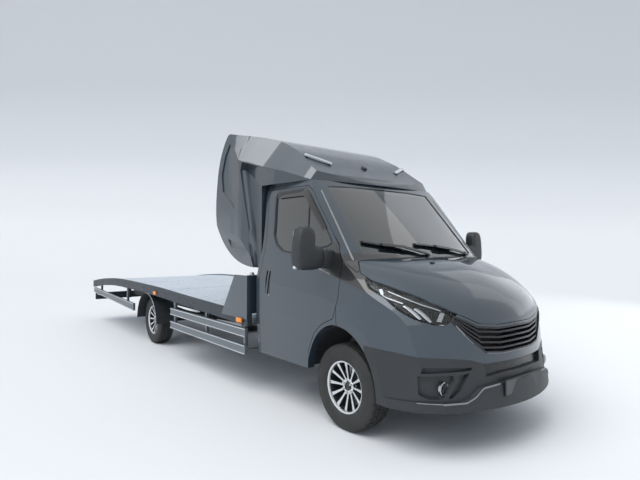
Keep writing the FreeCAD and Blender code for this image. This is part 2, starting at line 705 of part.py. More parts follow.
def rear_axle():
    reach = hub_face(REAR_TRACK)
    inner = REAR_TRACK / 2 - TYRE_WIDTH / 2 - DISC_THICK
    tube = rod_y(AXLE_R, -inner, inner, TYRE_RADIUS, AXLE_TUBE)
    pins = rod_y(AXLE_R, -reach - HUB_LONG, reach + HUB_LONG, TYRE_RADIUS, SPINDLE_RADIUS)
    ball = Part.makeSphere(DIFF_RADIUS, V(AXLE_R, 0, TYRE_RADIUS))
    nose = rod_x(AXLE_R, AXLE_R + DIFF_RADIUS * 1.8, 0, TYRE_RADIUS, AXLE_TUBE)
    drums = [rod_y(AXLE_R, inner - DISC_THICK, inner, TYRE_RADIUS, DISC_RADIUS),
             rod_y(AXLE_R, -inner, -inner + DISC_THICK, TYRE_RADIUS, DISC_RADIUS)]
    return joined([tube, pins, ball, nose] + drums)


def rear_springs():
    # A leaf spring under each frame rail, seated on the axle tube
    y0 = FRAME_HALF - RAIL_WIDE
    z = TYRE_RADIUS + AXLE_TUBE + FIT_GAP
    rise = SPRING_SAG
    half = SPRING_LENGTH / 2
    low = [V(AXLE_R + half, y0, z + rise), V(AXLE_R, y0, z), V(AXLE_R - half, y0, z + rise)]
    top = [p + V(0, 0, SPRING_THICK) for p in low]
    arc_low = Part.Arc(low[0], low[1], low[2]).toShape()
    arc_top = Part.Arc(top[2], top[1], top[0]).toShape()
    face = Part.Face(Part.Wire([arc_low, Part.makeLine(low[2], top[2]), arc_top,
                                Part.makeLine(top[0], low[0])]))
    leaf = face.extrude(V(0, SPRING_WIDE, 0))
    hangers = []
    for x in (AXLE_R + half - SPRING_THICK, AXLE_R - half):
        hangers.append(box(x, x + SPRING_THICK, y0, FRAME_HALF, z + rise - SPRING_THICK / 2,
                           FRAME_TOP - RAIL_HIGH - FIT_GAP))
    spring = joined([leaf] + hangers)
    return [spring, mirrored(spring)]


def engine_block():
    half = ENGINE_WIDE / 2
    rear = ENGINE_FRONT - ENGINE_LONG
    block = box(rear, ENGINE_FRONT, -half, half, ENGINE_LOW, ENGINE_TOP)
    gearbox = box(rear - GEARBOX_LONG, rear, -half / 2, half / 2, ENGINE_LOW, FLOOR_Z - FLOOR_THICK * 2)
    arm_z = FRAME_TOP - RAIL_HIGH / 2
    reach = FRAME_HALF - RAIL_WALL - FIT_GAP
    arms = box(rear + RAIL_WIDE, rear + RAIL_WIDE * 2, -reach, reach, arm_z - RAIL_WALL * 2,
               arm_z + RAIL_WALL * 2)
    return joined([block, gearbox, arms])


def prop_shaft():
    x0 = AXLE_R + DIFF_RADIUS * 1.8 + FIT_GAP
    x1 = ENGINE_FRONT - ENGINE_LONG - GEARBOX_LONG - FIT_GAP
    z0 = TYRE_RADIUS
    z1 = ENGINE_LOW + SHAFT_RADIUS * 1.2
    way = V(x1 - x0, 0, z1 - z0)
    flat = Part.makeCylinder(SHAFT_RADIUS, way.Length, V(x0, 0, z0), way)
    trim = box(x0, x1, -DIFF_RADIUS, DIFF_RADIUS, 0, FLOOR_Z)
    return flat.common(trim)


def fuel_tank():
    x1 = DECK_FRONT - BEARER_WIDE * 5
    y0 = FRAME_HALF + FIT_GAP
    z1 = FRAME_TOP - RAIL_WALL
    tank = box(x1 - TANK_LONG, x1, y0, y0 + TANK_WIDE, z1 - TANK_HIGH, z1)
    edges = [e for e in tank.Edges if abs(e.Vertexes[0].Y - e.Vertexes[-1].Y) < FIT_GAP
             and abs(e.Vertexes[0].Z - e.Vertexes[-1].Z) < FIT_GAP]
    return tank.makeFillet(TANK_HIGH / 6, edges)


def front_axle_beam():
    # Cross beam and arms that carry the kingpins
    reach = KINGPIN_Y
    beam = box(-BEAM_RADIUS, BEAM_RADIUS, -FRAME_HALF, FRAME_HALF, BEAM_Z - BEAM_RADIUS,
               BEAM_Z + BEAM_RADIUS)
    arms = []
    for sign in (1, -1):
        low = [(sign * FRAME_HALF * 0.9, BEAM_Z - BEAM_RADIUS), (sign * reach, BEAM_Z - BEAM_RADIUS * 1.2),
               (sign * reach, BEAM_Z - BEAM_RADIUS * 0.5), (sign * FRAME_HALF * 0.9, BEAM_Z)]
        arms.append(prism_x(low, -BEAM_RADIUS, BEAM_RADIUS))
        arms.append(box(-BEAM_RADIUS, BEAM_RADIUS, min(sign * FRAME_HALF, sign * (FRAME_HALF - RAIL_WIDE)),
                        max(sign * FRAME_HALF, sign * (FRAME_HALF - RAIL_WIDE)), BEAM_Z, FRAME_TOP - RAIL_HIGH))
        pin = rod_z(0, sign * reach, BEAM_Z - BEAM_RADIUS, BEAM_Z + KNUCKLE_HIGH + BEAM_RADIUS,
                    KINGPIN_RADIUS)
        arms.append(pin)
        arms.append(rod_z(0, sign * reach, BEAM_Z - BEAM_RADIUS * 1.2, BEAM_Z,
                          KINGPIN_RADIUS + KNUCKLE_WALL))
    return joined([beam] + arms)


def knuckle(side):
    # Upright with the kingpin bore and the wheel spindle
    reach = hub_face(FRONT_TRACK)
    low = BEAM_Z + SEAM
    tube = rod_z(0, KINGPIN_Y, low, BEAM_Z + KNUCKLE_HIGH, KINGPIN_RADIUS + KNUCKLE_WALL)
    disc_y = FRONT_TRACK / 2 - TYRE_WIDTH / 2
    disc = rod_y(0, disc_y - DISC_THICK, disc_y, TYRE_RADIUS, DISC_RADIUS)
    pin = rod_y(0, KINGPIN_Y, reach + HUB_LONG, TYRE_RADIUS, SPINDLE_RADIUS)
    bore = rod_z(0, KINGPIN_Y, 0, CAB_TOP, KINGPIN_RADIUS + SPINDLE_GAP)
    piece = joined([tube, disc, pin]).cut(bore)
    return piece if side > 0 else mirrored(piece)


def revolved(points, centre_y, x):
    # A closed outline of (distance from the middle, radius), turned about the axle
    face = Part.Face(wire([V(x, centre_y + p[0], TYRE_RADIUS + p[1]) for p in points]))
    return face.revolve(V(x, 0, TYRE_RADIUS), V(0, 1, 0), 360)


tyre_shares = [(-0.36, 0.0), (-0.44, 0.12), (-0.5, 0.42), (-0.49, 0.66), (-0.44, 0.88), (-0.36, 0.975),
               (-0.18, 1.0), (0.18, 1.0), (0.36, 0.975), (0.44, 0.88), (0.49, 0.66), (0.5, 0.42),
               (0.44, 0.12), (0.36, 0.0)]


def tyre(x, y):
    high = TYRE_RADIUS - RIM_RADIUS
    points = [(s[0] * TYRE_WIDTH, RIM_RADIUS + s[1] * high) for s in tyre_shares]
    return revolved(points, y, x)


def rim(x, y, track):
    sign = 1 if y > 0 else -1
    half = RIM_WIDTH / 2
    seat = RIM_RADIUS - FIT_GAP
    grip = TYRE_WIDTH * 0.36 + FIT_GAP
    flange = seat + (half - grip) * 0.85
    barrel = [(-half, flange), (-half, seat - RIM_WALL), (half, seat - RIM_WALL), (half, flange),
              (grip, seat), (-grip, seat)]
    pieces = [revolved(barrel, y, x)]
    out = half * 0.55
    bore_in = DISC_SET - HUB_LONG / 2
    hub = rod_y(x, min(y + sign * bore_in, y + sign * out), max(y + sign * bore_in, y + sign * out),
                TYRE_RADIUS, HUB_RADIUS)
    pieces.append(hub)
    for i in range(SPOKE_COUNT):
        low = HUB_RADIUS * 0.8
        top = seat - RIM_WALL / 2
        y0 = min(y + sign * (out - SPOKE_DEPTH), y + sign * out)
        arm = Part.makeBox(SPOKE_WIDTH, SPOKE_DEPTH, top - low,
                           V(x - SPOKE_WIDTH / 2, y0, TYRE_RADIUS + low))
        arm.rotate(V(x, 0, TYRE_RADIUS), V(0, 1, 0), 360.0 * i / SPOKE_COUNT)
        pieces.append(arm)
    whole = joined(pieces)
    hole = rod_y(x, y - TYRE_WIDTH, y + TYRE_WIDTH, TYRE_RADIUS, SPINDLE_RADIUS + SPINDLE_GAP)
    return whole.cut(hole)


# Side view of the fairing: its roof from the front lip, then its back down to the foot
pod_roof_shares = [(1.1028, 0.5338), (1.0972, 0.582), (1.0556, 0.6688), (0.9667, 0.7428), (0.8333, 0.8006),
                   (0.6389, 0.8617), (0.4167, 0.9196), (0.2222, 0.9646)]
pod_back_shares = [(0.2222, 0.9646), (0.15, 0.8778), (0.0889, 0.7299), (0.0639, 0.582), (0.0556, 0.4019),
                   (0.0833, 0.2669), (0.1667, 0.1383), (0.2778, 0.0675), (0.4333, 0.0354), (0.5194, 0.0302)]
# Its front edge seen from above
pod_plan_shares = [(1.1028, 0), (1.0972, 0.35), (1.0806, 0.7), (1.0389, 1.03)]
# The recessed panel of its flank beside and behind the door, and the smaller pockets
recess_shares = [(1.1667, 0.5048), (1.1667, 0.5402), (1.0556, 0.5595), (0.95, 0.582), (0.8333, 0.6077),
                 (0.6611, 0.6527), (0.5111, 0.6977), (0.3722, 0.7428), (0.3583, 0.6913), (0.3944, 0.4855),
                 (0.4333, 0.299), (0.4444, 0.1576), (0.4667, -0.0096), (0.5833, -0.0096), (0.5833, 0.5048)]
swoosh_shares = [(0.2278, 0.8907), (0.2833, 0.8457), (0.3222, 0.7814), (0.3444, 0.6849), (0.35, 0.5563),
                 (0.2889, 0.4341), (0.1444, 0.5627), (0.1278, 0.6849), (0.1722, 0.8135)]
scoop_shares = [(0.1889, 0.2251), (0.4111, 0.1672), (0.4167, 0.1254), (0.3333, 0.1061), (0.2333, 0.1318)]
tuck_shares = [(-0.0556, 0.3601), (0.5833, 0.1672)]


def pod_points(table, y):
    return [V(POD_REAR + s[0] * POD_LENGTH, y, POD_BOTTOM + s[1] * POD_HEIGHT) for s in table]


def pod_outline(half):
    # One closed side outline, carried across the cab, with its front edge curved in plan
    roof = pod_points(pod_roof_shares, -half)
    back = pod_points(pod_back_shares, -half)
    rest = CAB_TOP + FIT_GAP
    wall = V(back[-1].x, -half, rest)
    lip = V(POD_LIP_X, -half, rest)
    edges = [curve(roof), curve(back), Part.makeLine(back[-1], wall), Part.makeLine(wall, lip),
             Part.makeLine(lip, roof[0])]
    body = Part.Face(Part.Wire(edges)).extrude(V(0, half * 2, 0))
    plan = [V(POD_REAR + s[0] * POD_LENGTH, s[1] * POD_HALF, 0) for s in pod_plan_shares]
    other = [V(p.x, -p.y, 0) for p in reversed(plan[1:])]
    nose = curve(other + plan)
    rear = POD_REAR - CUT_OVER
    corners = [plan[-1], V(rear, plan[-1].y, 0), V(rear, -plan[-1].y, 0), other[0]]
    lines = [Part.makeLine(corners[i], corners[i + 1]) for i in range(3)]
    above = Part.Face(Part.Wire([nose] + lines)).extrude(V(0, 0, CAB_TOP * 2))
    return body.common(above)


def pod_hollow():
    # The room inside, with flat walls behind the curved skin
    half = POD_HALF - POD_RECESS - POD_WALL
    rest = CAB_TOP + FIT_GAP
    outline = [(p.x, p.z) for p in pod_points(pod_roof_shares + pod_back_shares[1:], 0)]
    outline += [(outline[-1][0], rest), (POD_LIP_X, rest)]
    room = prism_y(grown(outline, -POD_WALL), -half, half)
    plan = [(POD_REAR + s[0] * POD_LENGTH - POD_WALL, s[1] * POD_HALF) for s in pod_plan_shares]
    rear = POD_REAR - CUT_OVER
    other = [(x, -y) for x, y in reversed(plan[1:])]
    ahead = other + plan + [(rear, plan[-1][1]), (rear, -plan[-1][1])]
    return room.common(prism_z(ahead, 0, CAB_TOP * 2))


def pod_pocket(table, deep):
    # A pocket in both flanks
    cut = prism(pod_points(table, POD_HALF + SEAM), V(0, -deep - SEAM, 0))
    return [cut, mirrored(cut)]


def pod_tuck():
    # The foot of each flank is drawn in below a slanting crease
    ends = pod_points(tuck_shares, 0)
    rows = []
    for p in ends:
        y = POD_HALF + SEAM
        low = p.z - POD_HEIGHT
        fall = POD_HEIGHT * POD_TUCK_SHARE
        rows.append(Part.makePolygon([V(p.x, POD_HALF, p.z), V(p.x, y + CUT_OVER, p.z),
                                      V(p.x, y + CUT_OVER, low),
                                      V(p.x, POD_HALF - fall, low), V(p.x, POD_HALF, p.z)]))
    wedge = Part.makeLoft(rows, True, True)
    return [wedge, mirrored(wedge)]


def sleeper_pod():
    outer = pod_outline(POD_HALF)
    pockets = pod_pocket(recess_shares, POD_RECESS) + pod_pocket(swoosh_shares, POD_PANEL)
    pockets += pod_pocket(scoop_shares, POD_SCOOP) + pod_tuck()
    return outer.cut(pockets).cut(pod_hollow())


wing_plate_shares = [(0.0003, 0.8289), (0.0003, 1.3222), (0.043, 1.32), (0.0911, 0.8289)]


def headboard():
    points = [(DECK_FRONT - s[0] * DECK_LENGTH, s[1] * DECK_HIGH) for s in wing_plate_shares]
    plate = prism_y(points, DECK_HALF + FIT_GAP, DECK_HALF + FIT_GAP + PLATE_THICK)
    panel = box(DECK_FRONT - HEADBOARD_THICK, DECK_FRONT, -DECK_HALF - FIT_GAP - PLATE_THICK,
                DECK_HALF + FIT_GAP + PLATE_THICK,
                deck_height(DECK_FRONT - HEADBOARD_THICK, 0) + FIT_GAP, HEADBOARD_TOP)
    return joined([panel, plate, mirrored(plate)])


def side_guards():
    y1 = DECK_HALF
    y0 = y1 - GUARD_THICK
    x1 = GUARD_FRONT - POST_WIDE * 3
    x0 = GUARD_FRONT - GUARD_LONG
    pieces = [box(x0, x1, y0, y1, GUARD_LOW_Z, GUARD_LOW_Z + GUARD_HIGH),
              box(x0, x1, y0, y1, GUARD_TOP_Z, GUARD_TOP_Z + GUARD_HIGH)]
    for x in (x0 + POST_WIDE, (x0 + x1) / 2, x1 - POST_WIDE * 2):
        top = min(deck_height(x, SIDE_RAIL_HIGH), deck_height(x + POST_WIDE, SIDE_RAIL_HIGH)) - FIT_GAP
        pieces.append(box(x, x + POST_WIDE, y0 - GUARD_THICK, y0, GUARD_LOW_Z, top))
    front = joined(pieces)
    return [front, mirrored(front)] + rear_guards()


rear_guard_shares = [(0.5894, 0.4944), (0.5894, 0.6178), (0.9901, 0.7122), (0.9901, 0.6111)]


def rear_guards():
    y1 = DECK_HALF
    y0 = y1 - GUARD_THICK
    points = [(DECK_FRONT - s[0] * DECK_LENGTH, s[1] * DECK_HIGH) for s in rear_guard_shares]
    pieces = [prism_y(points, y0, y1)]
    for x in (REAR_POST_X, FRAME_TAIL):
        top = min(deck_height(x, SIDE_RAIL_HIGH), deck_height(x + POST_WIDE, SIDE_RAIL_HIGH)) - FIT_GAP
        pieces.append(box(x, x + POST_WIDE, y0 - GUARD_THICK, y0, GUARD_TOP_Z - GUARD_HIGH / 2, top))
    bar = joined(pieces)
    return [bar, mirrored(bar)]


def underrun():
    x0 = DECK_FRONT - DECK_LENGTH + UNDERRUN_THICK
    half = DECK_HALF - GUARD_THICK - FIT_GAP
    board = box(x0, x0 + UNDERRUN_THICK, -half, half, UNDERRUN_LOW, UNDERRUN_LOW + UNDERRUN_HIGH)
    arms = []
    for sign in (1, -1):
        y0 = sign * (FRAME_HALF - RAIL_WIDE / 2) - UNDERRUN_THICK / 2
        arms.append(box(x0 + UNDERRUN_THICK, x0 + UNDERRUN_THICK * 2, y0, y0 + UNDERRUN_THICK, UNDERRUN_LOW,
                        deck_height(x0 + UNDERRUN_THICK, DECK_DROP + DECK_THICK) - FIT_GAP))
    return joined([board] + arms)


def tail_lamps():
    x1 = DECK_FRONT - DECK_LENGTH + UNDERRUN_THICK - FIT_GAP
    y1 = DECK_HALF - GUARD_THICK * 2
    z0 = UNDERRUN_LOW + (UNDERRUN_HIGH - TAIL_LAMP_HIGH) / 2
    lamp = box(x1 - TAIL_LAMP_DEEP, x1, y1 - TAIL_LAMP_WIDE, y1, z0, z0 + TAIL_LAMP_HIGH)
    return [lamp, mirrored(lamp)]


def wheel_liners():
    pieces = []
    y1 = DECK_HALF - GUARD_THICK
    y0 = y1 - MUDGUARD_WIDE
    ring = rod_y(AXLE_R, y0, y1, TYRE_RADIUS, MUDGUARD_RADIUS)
    ring = ring.cut(rod_y(AXLE_R, y0 - CUT_OVER, y1 + CUT_OVER, TYRE_RADIUS,
                          MUDGUARD_RADIUS - MUDGUARD_THICK))
    ring = ring.cut(box(AXLE_R - TYRE_RADIUS * 2, AXLE_R + TYRE_RADIUS * 2, y0 - CUT_OVER, y1 + CUT_OVER,
                        -TYRE_RADIUS, TYRE_RADIUS))
    stay = box(AXLE_R - POST_WIDE, AXLE_R + POST_WIDE, FRAME_HALF, y0 + POST_WIDE,
               TYRE_RADIUS + MUDGUARD_RADIUS - MUDGUARD_THICK / 2, TYRE_RADIUS + MUDGUARD_RADIUS + MUDGUARD_THICK)
    pieces.append(joined([ring, stay]))
    front = front_liner()
    pieces.append(front)
    return pieces + [mirrored(p) for p in pieces]


def front_liner():
    y0 = LINER_INNER_Y
    y1 = LINER_OUTER_Y
    outer = arch_hole(LINER_HALF + LINER_THICK, LINER_HIGH + LINER_THICK, y0, y1)
    inner = arch_hole(LINER_HALF, LINER_HIGH, y0 - CUT_OVER, y1 + CUT_OVER)
    low = box(-LINER_HALF * 2, LINER_HALF * 2, 0, CAB_HALF * 2, -CAB_TOP, SILL_Z)
    return outer.cut([inner, low])


marker_shares = [0.015, 0.42]


def marker_lamps():
    pieces = []
    for share in marker_shares:
        x = DECK_FRONT - share * DECK_LENGTH - MARKER_LONG
        y = DECK_HALF + FIT_GAP
        z = deck_height(x, SIDE_RAIL_HIGH) + MARKER_DEEP
        if share < 0.1:
            y += PLATE_THICK + FIT_GAP
        lamp = box(x, x + MARKER_LONG, y, y + MARKER_DEEP, z, z + MARKER_HIGH)
        pieces += [lamp, mirrored(lamp)]
    return pieces


mirror_shares = [(1.105, 0.7095), (1.095, 0.7619), (1.12, 0.7833), (1.16, 0.7881), (1.22, 0.7857),
                 (1.255, 0.7714), (1.27, 0.7381), (1.285, 0.7095), (1.285, 0.6476), (1.265, 0.6238),
                 (1.22, 0.6167), (1.06, 0.619), (1, 0.631), (0.86, 0.6429), (0.86, 0.7048), (1.06, 0.7095)]


def mirror_head(side):
    # A tall head over a wide arm that reaches to the corner of the door
    points = front_points(mirror_shares)
    head = prism_x(points, MIRROR_X, MIRROR_X + MIRROR_LONG)
    front = [e for f in head.Faces if f.BoundBox.XLength < SEAM and f.BoundBox.XMin > MIRROR_X + SEAM for e in f.Edges]
    piece = head.makeChamfer(MIRROR_EDGE, front).cut(cab_solid(-FIT_GAP))
    keep = box(MIRROR_X - CUT_OVER, MIRROR_X + CUT_OVER, CAB_HALF * 0.85, MIRROR_OUT, 0, CAB_TOP)
    piece = piece.common(keep)
    return piece if side > 0 else mirrored(piece)


dash_shares = [(0.5599, 0.6333), (0.451, 0.6476), (0.39, 0.619), (0.3813, 0.5476), (0.4161, 0.4857),
               (0.5599, 0.4667)]


def dashboard():
    half = CAB_HALF * 0.86
    block = prism_y(cab_points(dash_shares), -half, half)
    stack = box(-CAB_LENGTH * 0.12, 0, -CAB_HALF * 0.16, CAB_HALF * 0.16, FLOOR_Z + FIT_GAP, CAB_TOP / 2)
    wall = FIREWALL_X - FIT_GAP
    back = box(0, wall, -half, half, CAB_TOP * 0.5, CAB_TOP * 0.6)
    inside = cab_solid(BODY_THICK + SEAM * 2)
    whole = joined([block, stack, back]).common(inside)
    return max(whole.Solids, key=lambda s: s.Volume)


def steering_wheel():
    ring = Part.makeTorus(WHEEL_RING, WHEEL_TUBE)
    hub = Part.makeCylinder(WHEEL_TUBE * 3, WHEEL_TUBE * 2, V(0, 0, -WHEEL_TUBE))
    bars = [hub, ring]
    for turn in (0, 180, 270):
        bar = Part.makeBox(WHEEL_RING, WHEEL_TUBE * 2, WHEEL_TUBE, V(0, -WHEEL_TUBE, -WHEEL_TUBE / 2))
        bar.rotate(V(0, 0, 0), V(0, 0, 1), turn)
        bars.append(bar)
    column = Part.makeCylinder(WHEEL_TUBE * 1.6, WHEEL_RING * 1.6, V(0, 0, -WHEEL_RING * 1.6))
    whole = joined(bars + [column])
    whole.rotate(V(0, 0, 0), V(0, 0, 1), 90)
    whole.rotate(V(0, 0, 0), V(0, 1, 0), -WHEEL_TILT)
    place = V(CAB_REAR + CAB_LENGTH * 0.345, DRIVER_Y, CAB_TOP * 0.605)
    cutter = prism_y(cab_points(dash_shares), -CAB_HALF, CAB_HALF)
    return max(whole.translated(place).cut(cutter).Solids, key=lambda s: s.Volume)


seat_rows = [(430.0, 480.0), (-380.0, 860.0)]


def seats():
    pieces = []
    for centre, wide in seat_rows:
        y0 = centre - wide / 2
        y1 = centre + wide / 2
        base = box(SEAT_BACK_X + SEAT_LONG * 0.15, SEAT_BACK_X + SEAT_LONG * 0.9, y0 + SEAT_HIGH / 2,
                   y1 - SEAT_HIGH / 2,
                   FLOOR_Z + FIT_GAP, SEAT_TOP - SEAT_HIGH)
        cushion = box(SEAT_BACK_X + SEAT_HIGH / 2, SEAT_BACK_X + SEAT_HIGH / 2 + SEAT_LONG, y0, y1,
                      SEAT_TOP - SEAT_HIGH, SEAT_TOP)
        back = box(SEAT_BACK_X, SEAT_BACK_X + SEAT_HIGH, y0, y1, SEAT_TOP - SEAT_HIGH,
                   SEAT_TOP + SEAT_LONG * 1.25)
        pieces.append(joined([base, cushion, back]))
    return pieces


# Blade and arm of each wiper against the screen, seen from the front
wiper_rows = [([(-0.7, 0.729), (-0.655, 0.7262), (-0.545, 0.7186), (-0.43, 0.7081), (-0.318, 0.6957)],
               [(-0.538, 0.7186), (-0.308, 0.7105), (-0.159, 0.6929), (-0.08, 0.6819), (-0.05, 0.6714)]),
              ([(-0.114, 0.721), (0.029, 0.7171), (0.191, 0.7081), (0.376, 0.6943)],
               [(0.13, 0.7124), (0.32, 0.7024), (0.47, 0.6905), (0.57, 0.68), (0.62, 0.6714)])]


def strip(table, wide):
    # A thin band along a line of points in the front view
    points = front_points(table)
    upper = [(p[0], p[1] + wide / 2) for p in points]
    under = [(p[0], p[1] - wide / 2) for p in points]
    return prism_x(upper + list(reversed(under)), -CAB_LENGTH * 0.2, COWL_X + CUT_OVER)


def wipers():
    near = cab_solid(-WIPER_OFF).cut(cab_solid(GLASS_SET - FIT_GAP))
    far = cab_solid(-WIPER_OFF * 2).cut(cab_solid(-WIPER_OFF / 2))
    foot = cab_solid(-WIPER_OFF * 2).cut(cab_solid(-FIT_GAP))
    lid = prism_z(grown(bonnet_points(), BONNET_GAP), 0, CAB_TOP + CUT_OVER)
    pieces = []
    for blade_row, arm_row in wiper_rows:
        blade = near.common(strip(blade_row, WIPER_WIDE))
        arm = far.common(strip(arm_row, WIPER_WIDE * 1.5))
        end = front_points(arm_row)[-1]
        pivot = foot.common(rod_x(0, COWL_X, end[0], end[1] + PIVOT_RADIUS / 2, PIVOT_RADIUS))
        pieces.append(joined([blade, arm, pivot]).cut(lid))
    return pieces


export("chassis_frame", [chassis_frame()])
export("engine_block", [engine_block()])
export("front_axle_beam", [front_axle_beam()])
export("rear_axle", [rear_axle()])
export("rear_springs", rear_springs())
export("prop_shaft", [prop_shaft()])
export("fuel_tank", [fuel_tank()])
export("cab_shell", [cab_shell()])
export("front_wings", front_wings())
export("front_bumper", [front_bumper()])
export("grille", grille())
export("headlamps", headlamps())
export("windscreen", [windscreen()])
export("sleeper_pod", [sleeper_pod()])
export("dashboard", [dashboard()])
export("steering_wheel", [steering_wheel()])
export("seats", seats())
export("platform_deck", [platform_deck()])
export("platform_bearers", [bearers()])
export("side_rails", side_rails())
export("headboard", [headboard()])
export("side_guards", side_guards())
export("rear_underrun", [underrun()])
export("tail_lamps", tail_lamps())
export("wheel_liners", wheel_liners())
export("marker_lamps", marker_lamps())
export("wipers", wipers())
export("bonnet", [bonnet()])
for word, side in (("right", -1), ("left", 1)):
    export("door_" + word, [door(side)])
    export("door_glass_" + word, [door_glass(side)])
    export("mirror_" + word, [mirror_head(side)])
    export("knuckle_" + word, [knuckle(side)])
    for end, x, track in (("front", 0, FRONT_TRACK), ("rear", -WHEELBASE, REAR_TRACK)):
        export("tyre_" + end + "_" + word, [tyre(x, side * track / 2)])
        export("rim_" + end + "_" + word, [rim(x, side * track / 2, track)])
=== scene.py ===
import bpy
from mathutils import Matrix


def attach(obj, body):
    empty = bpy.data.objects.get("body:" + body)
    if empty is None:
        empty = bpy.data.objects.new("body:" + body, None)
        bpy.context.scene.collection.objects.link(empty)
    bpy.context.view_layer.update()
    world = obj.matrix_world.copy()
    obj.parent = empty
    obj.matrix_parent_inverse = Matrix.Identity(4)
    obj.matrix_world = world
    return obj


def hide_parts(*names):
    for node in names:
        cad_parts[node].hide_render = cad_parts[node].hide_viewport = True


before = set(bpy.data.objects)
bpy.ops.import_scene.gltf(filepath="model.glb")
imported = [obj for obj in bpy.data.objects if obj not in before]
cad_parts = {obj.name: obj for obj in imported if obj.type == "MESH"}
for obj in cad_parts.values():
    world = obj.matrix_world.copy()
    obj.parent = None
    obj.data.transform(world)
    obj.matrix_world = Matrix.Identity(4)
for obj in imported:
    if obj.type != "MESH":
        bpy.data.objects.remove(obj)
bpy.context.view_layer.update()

import math

import bpy
from mathutils import Matrix, Vector

# The photographer's view: eye height, from ahead of the right front wheel, with a
# fairly wide lens. X is forward, Y to the left, Z up, in metres.
eye = Vector((6.038, -3.490, 1.5095))
yaw, pitch, roll = math.radians(141.22), math.radians(0.50), math.radians(0.22)
look = Vector((math.cos(pitch) * math.cos(yaw), math.cos(pitch) * math.sin(yaw), math.sin(pitch)))
side = look.cross(Vector((0, 0, 1))).normalized()
up = side.cross(look)
right = side * math.cos(roll) + up * math.sin(roll)
top = up * math.cos(roll) - side * math.sin(roll)
bpy.ops.object.camera_add(location=eye)
camera = bpy.context.object
camera.name = "photo_camera"
camera.matrix_world = Matrix.Translation(eye) @ Matrix((right, top, -look)).transposed().to_4x4()
camera.data.sensor_width = 36.0
camera.data.lens = 36.0 * 476.9 / 640
camera.data.clip_end = 200
bpy.context.scene.camera = camera
bpy.context.scene.view_settings.view_transform = "Standard"


class Socket:
    """One output of a shader node, with plain arithmetic."""

    def __init__(self, finish, link):
        self.finish, self.link = finish, link

    def math(self, operation, *values):
        return self.finish.node("ShaderNodeMath", {"operation": operation}, *values)

    def __add__(self, other): return self.math("ADD", self, other)
    def __radd__(self, other): return self.math("ADD", other, self)
    def __mul__(self, other): return self.math("MULTIPLY", self, other)
    def __rmul__(self, other): return self.math("MULTIPLY", other, self)
    def __sub__(self, other): return self.math("SUBTRACT", self, other)
    def __rsub__(self, other): return self.math("SUBTRACT", other, self)
    def __gt__(self, other): return self.math("GREATER_THAN", self, other)


class Finish:
    """One surface finish: a material that starts with a plain Principled shader."""

    def __init__(self, name, color, **plain):
        self.material = bpy.data.materials.new(name)
        self.material.use_nodes = True
        self.tree = self.material.node_tree
        self.shader = self.tree.nodes["Principled BSDF"]
        self.shader.inputs["Base Color"].default_value = (*color, 1)
        for socket, value in plain.items():
            self.shader.inputs[socket.replace("_", " ")].default_value = value

    def node(self, kind, settings, *values, out=0, **named):
        made = self.tree.nodes.new(kind)
        for name, value in settings.items():
            setattr(made, name, value)
        for key, value in [*enumerate(values), *named.items()]:
            self.put(made.inputs[key.replace("_", " ") if isinstance(key, str) else key], value)
        return Socket(self, made.outputs[out])

    def put(self, socket, value):
        if isinstance(value, Socket):
            self.tree.links.new(value.link, socket)
        else:
            socket.default_value = value

    def place(self):
        return self.node("ShaderNodeTexCoord", {}, out="Object")

    def noise(self, scale, detail=3.0, place=None):
        return self.node("ShaderNodeTexNoise", {}, Vector=place or self.place(), Scale=scale,
                         Detail=detail)

    def blend(self, factor, first, second):
        made = self.tree.nodes.new("ShaderNodeMix")
        made.data_type = "RGBA"
        self.put(made.inputs[0], factor)
        self.put(made.inputs[6], first)
        self.put(made.inputs[7], second)
        return Socket(self, made.outputs[2])

    def waves(self, direction, scale):
        return self.node("ShaderNodeTexWave", {"bands_direction": direction}, Vector=self.place(),
                         Scale=scale)

    def wear(self, socket, value):
        self.put(self.shader.inputs[socket], value)

    def mottle(self, dark, pale, *grain):
        self.wear("Base Color", self.blend(self.noise(*grain), (*dark, 1), (*pale, 1)))

    def gloss(self, least, spread, *grain):
        self.wear("Roughness", self.noise(*grain) * spread + least)

    def bump(self, height, strength, distance):
        made = self.node("ShaderNodeBump", {}, Height=height, Strength=strength, Distance=distance)
        self.put(self.shader.inputs["Normal"], made)

    def grain(self, strength, distance, *grain):
        self.bump(self.noise(*grain), strength, distance)

    def on(self, *names):
        for name in names:
            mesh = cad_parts[name].data
            mesh.materials.clear()
            mesh.materials.append(self.material)
            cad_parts[name].active_material = self.material


# The studio: a pale floor that sweeps up into a pale backdrop and keeps the truck's
# shadow, one soft overhead light and two lamps. None of it belongs to the truck.
sweep = ((-60, 0), (18, 0), (27, 1.2), (33, 4.4), (36, 9.5), (37, 16), (37.5, 60))
bpy.ops.object.select_all(action="DESELECT")
bpy.ops.mesh.primitive_grid_add(x_subdivisions=len(sweep) - 1, y_subdivisions=1, size=2)
floor = bpy.context.object
floor.name = "studio_floor"
for vertex in floor.data.vertices:
    column = round((vertex.co.x + 1) / 2 * (len(sweep) - 1))
    vertex.co = (-sweep[column][0], vertex.co.y * 90, sweep[column][1])
floor.data.transform(Matrix.Rotation(yaw - math.pi, 4, "Z"))
bpy.ops.object.shade_smooth()
floor_finish = Finish("studio_floor", (0.74, 0.75, 0.76), Roughness=0.6)
floor.data.materials.append(floor_finish.material)
world = bpy.data.worlds.new("studio_surround")
bpy.context.scene.world = world
world.use_nodes = True
surround = world.node_tree
backdrop = surround.nodes["Background"]
backdrop.inputs["Strength"].default_value = 0.85
heading = surround.nodes.new("ShaderNodeTexCoord")
height = surround.nodes.new("ShaderNodeSeparateXYZ")
sky = surround.nodes.new("ShaderNodeValToRGB")
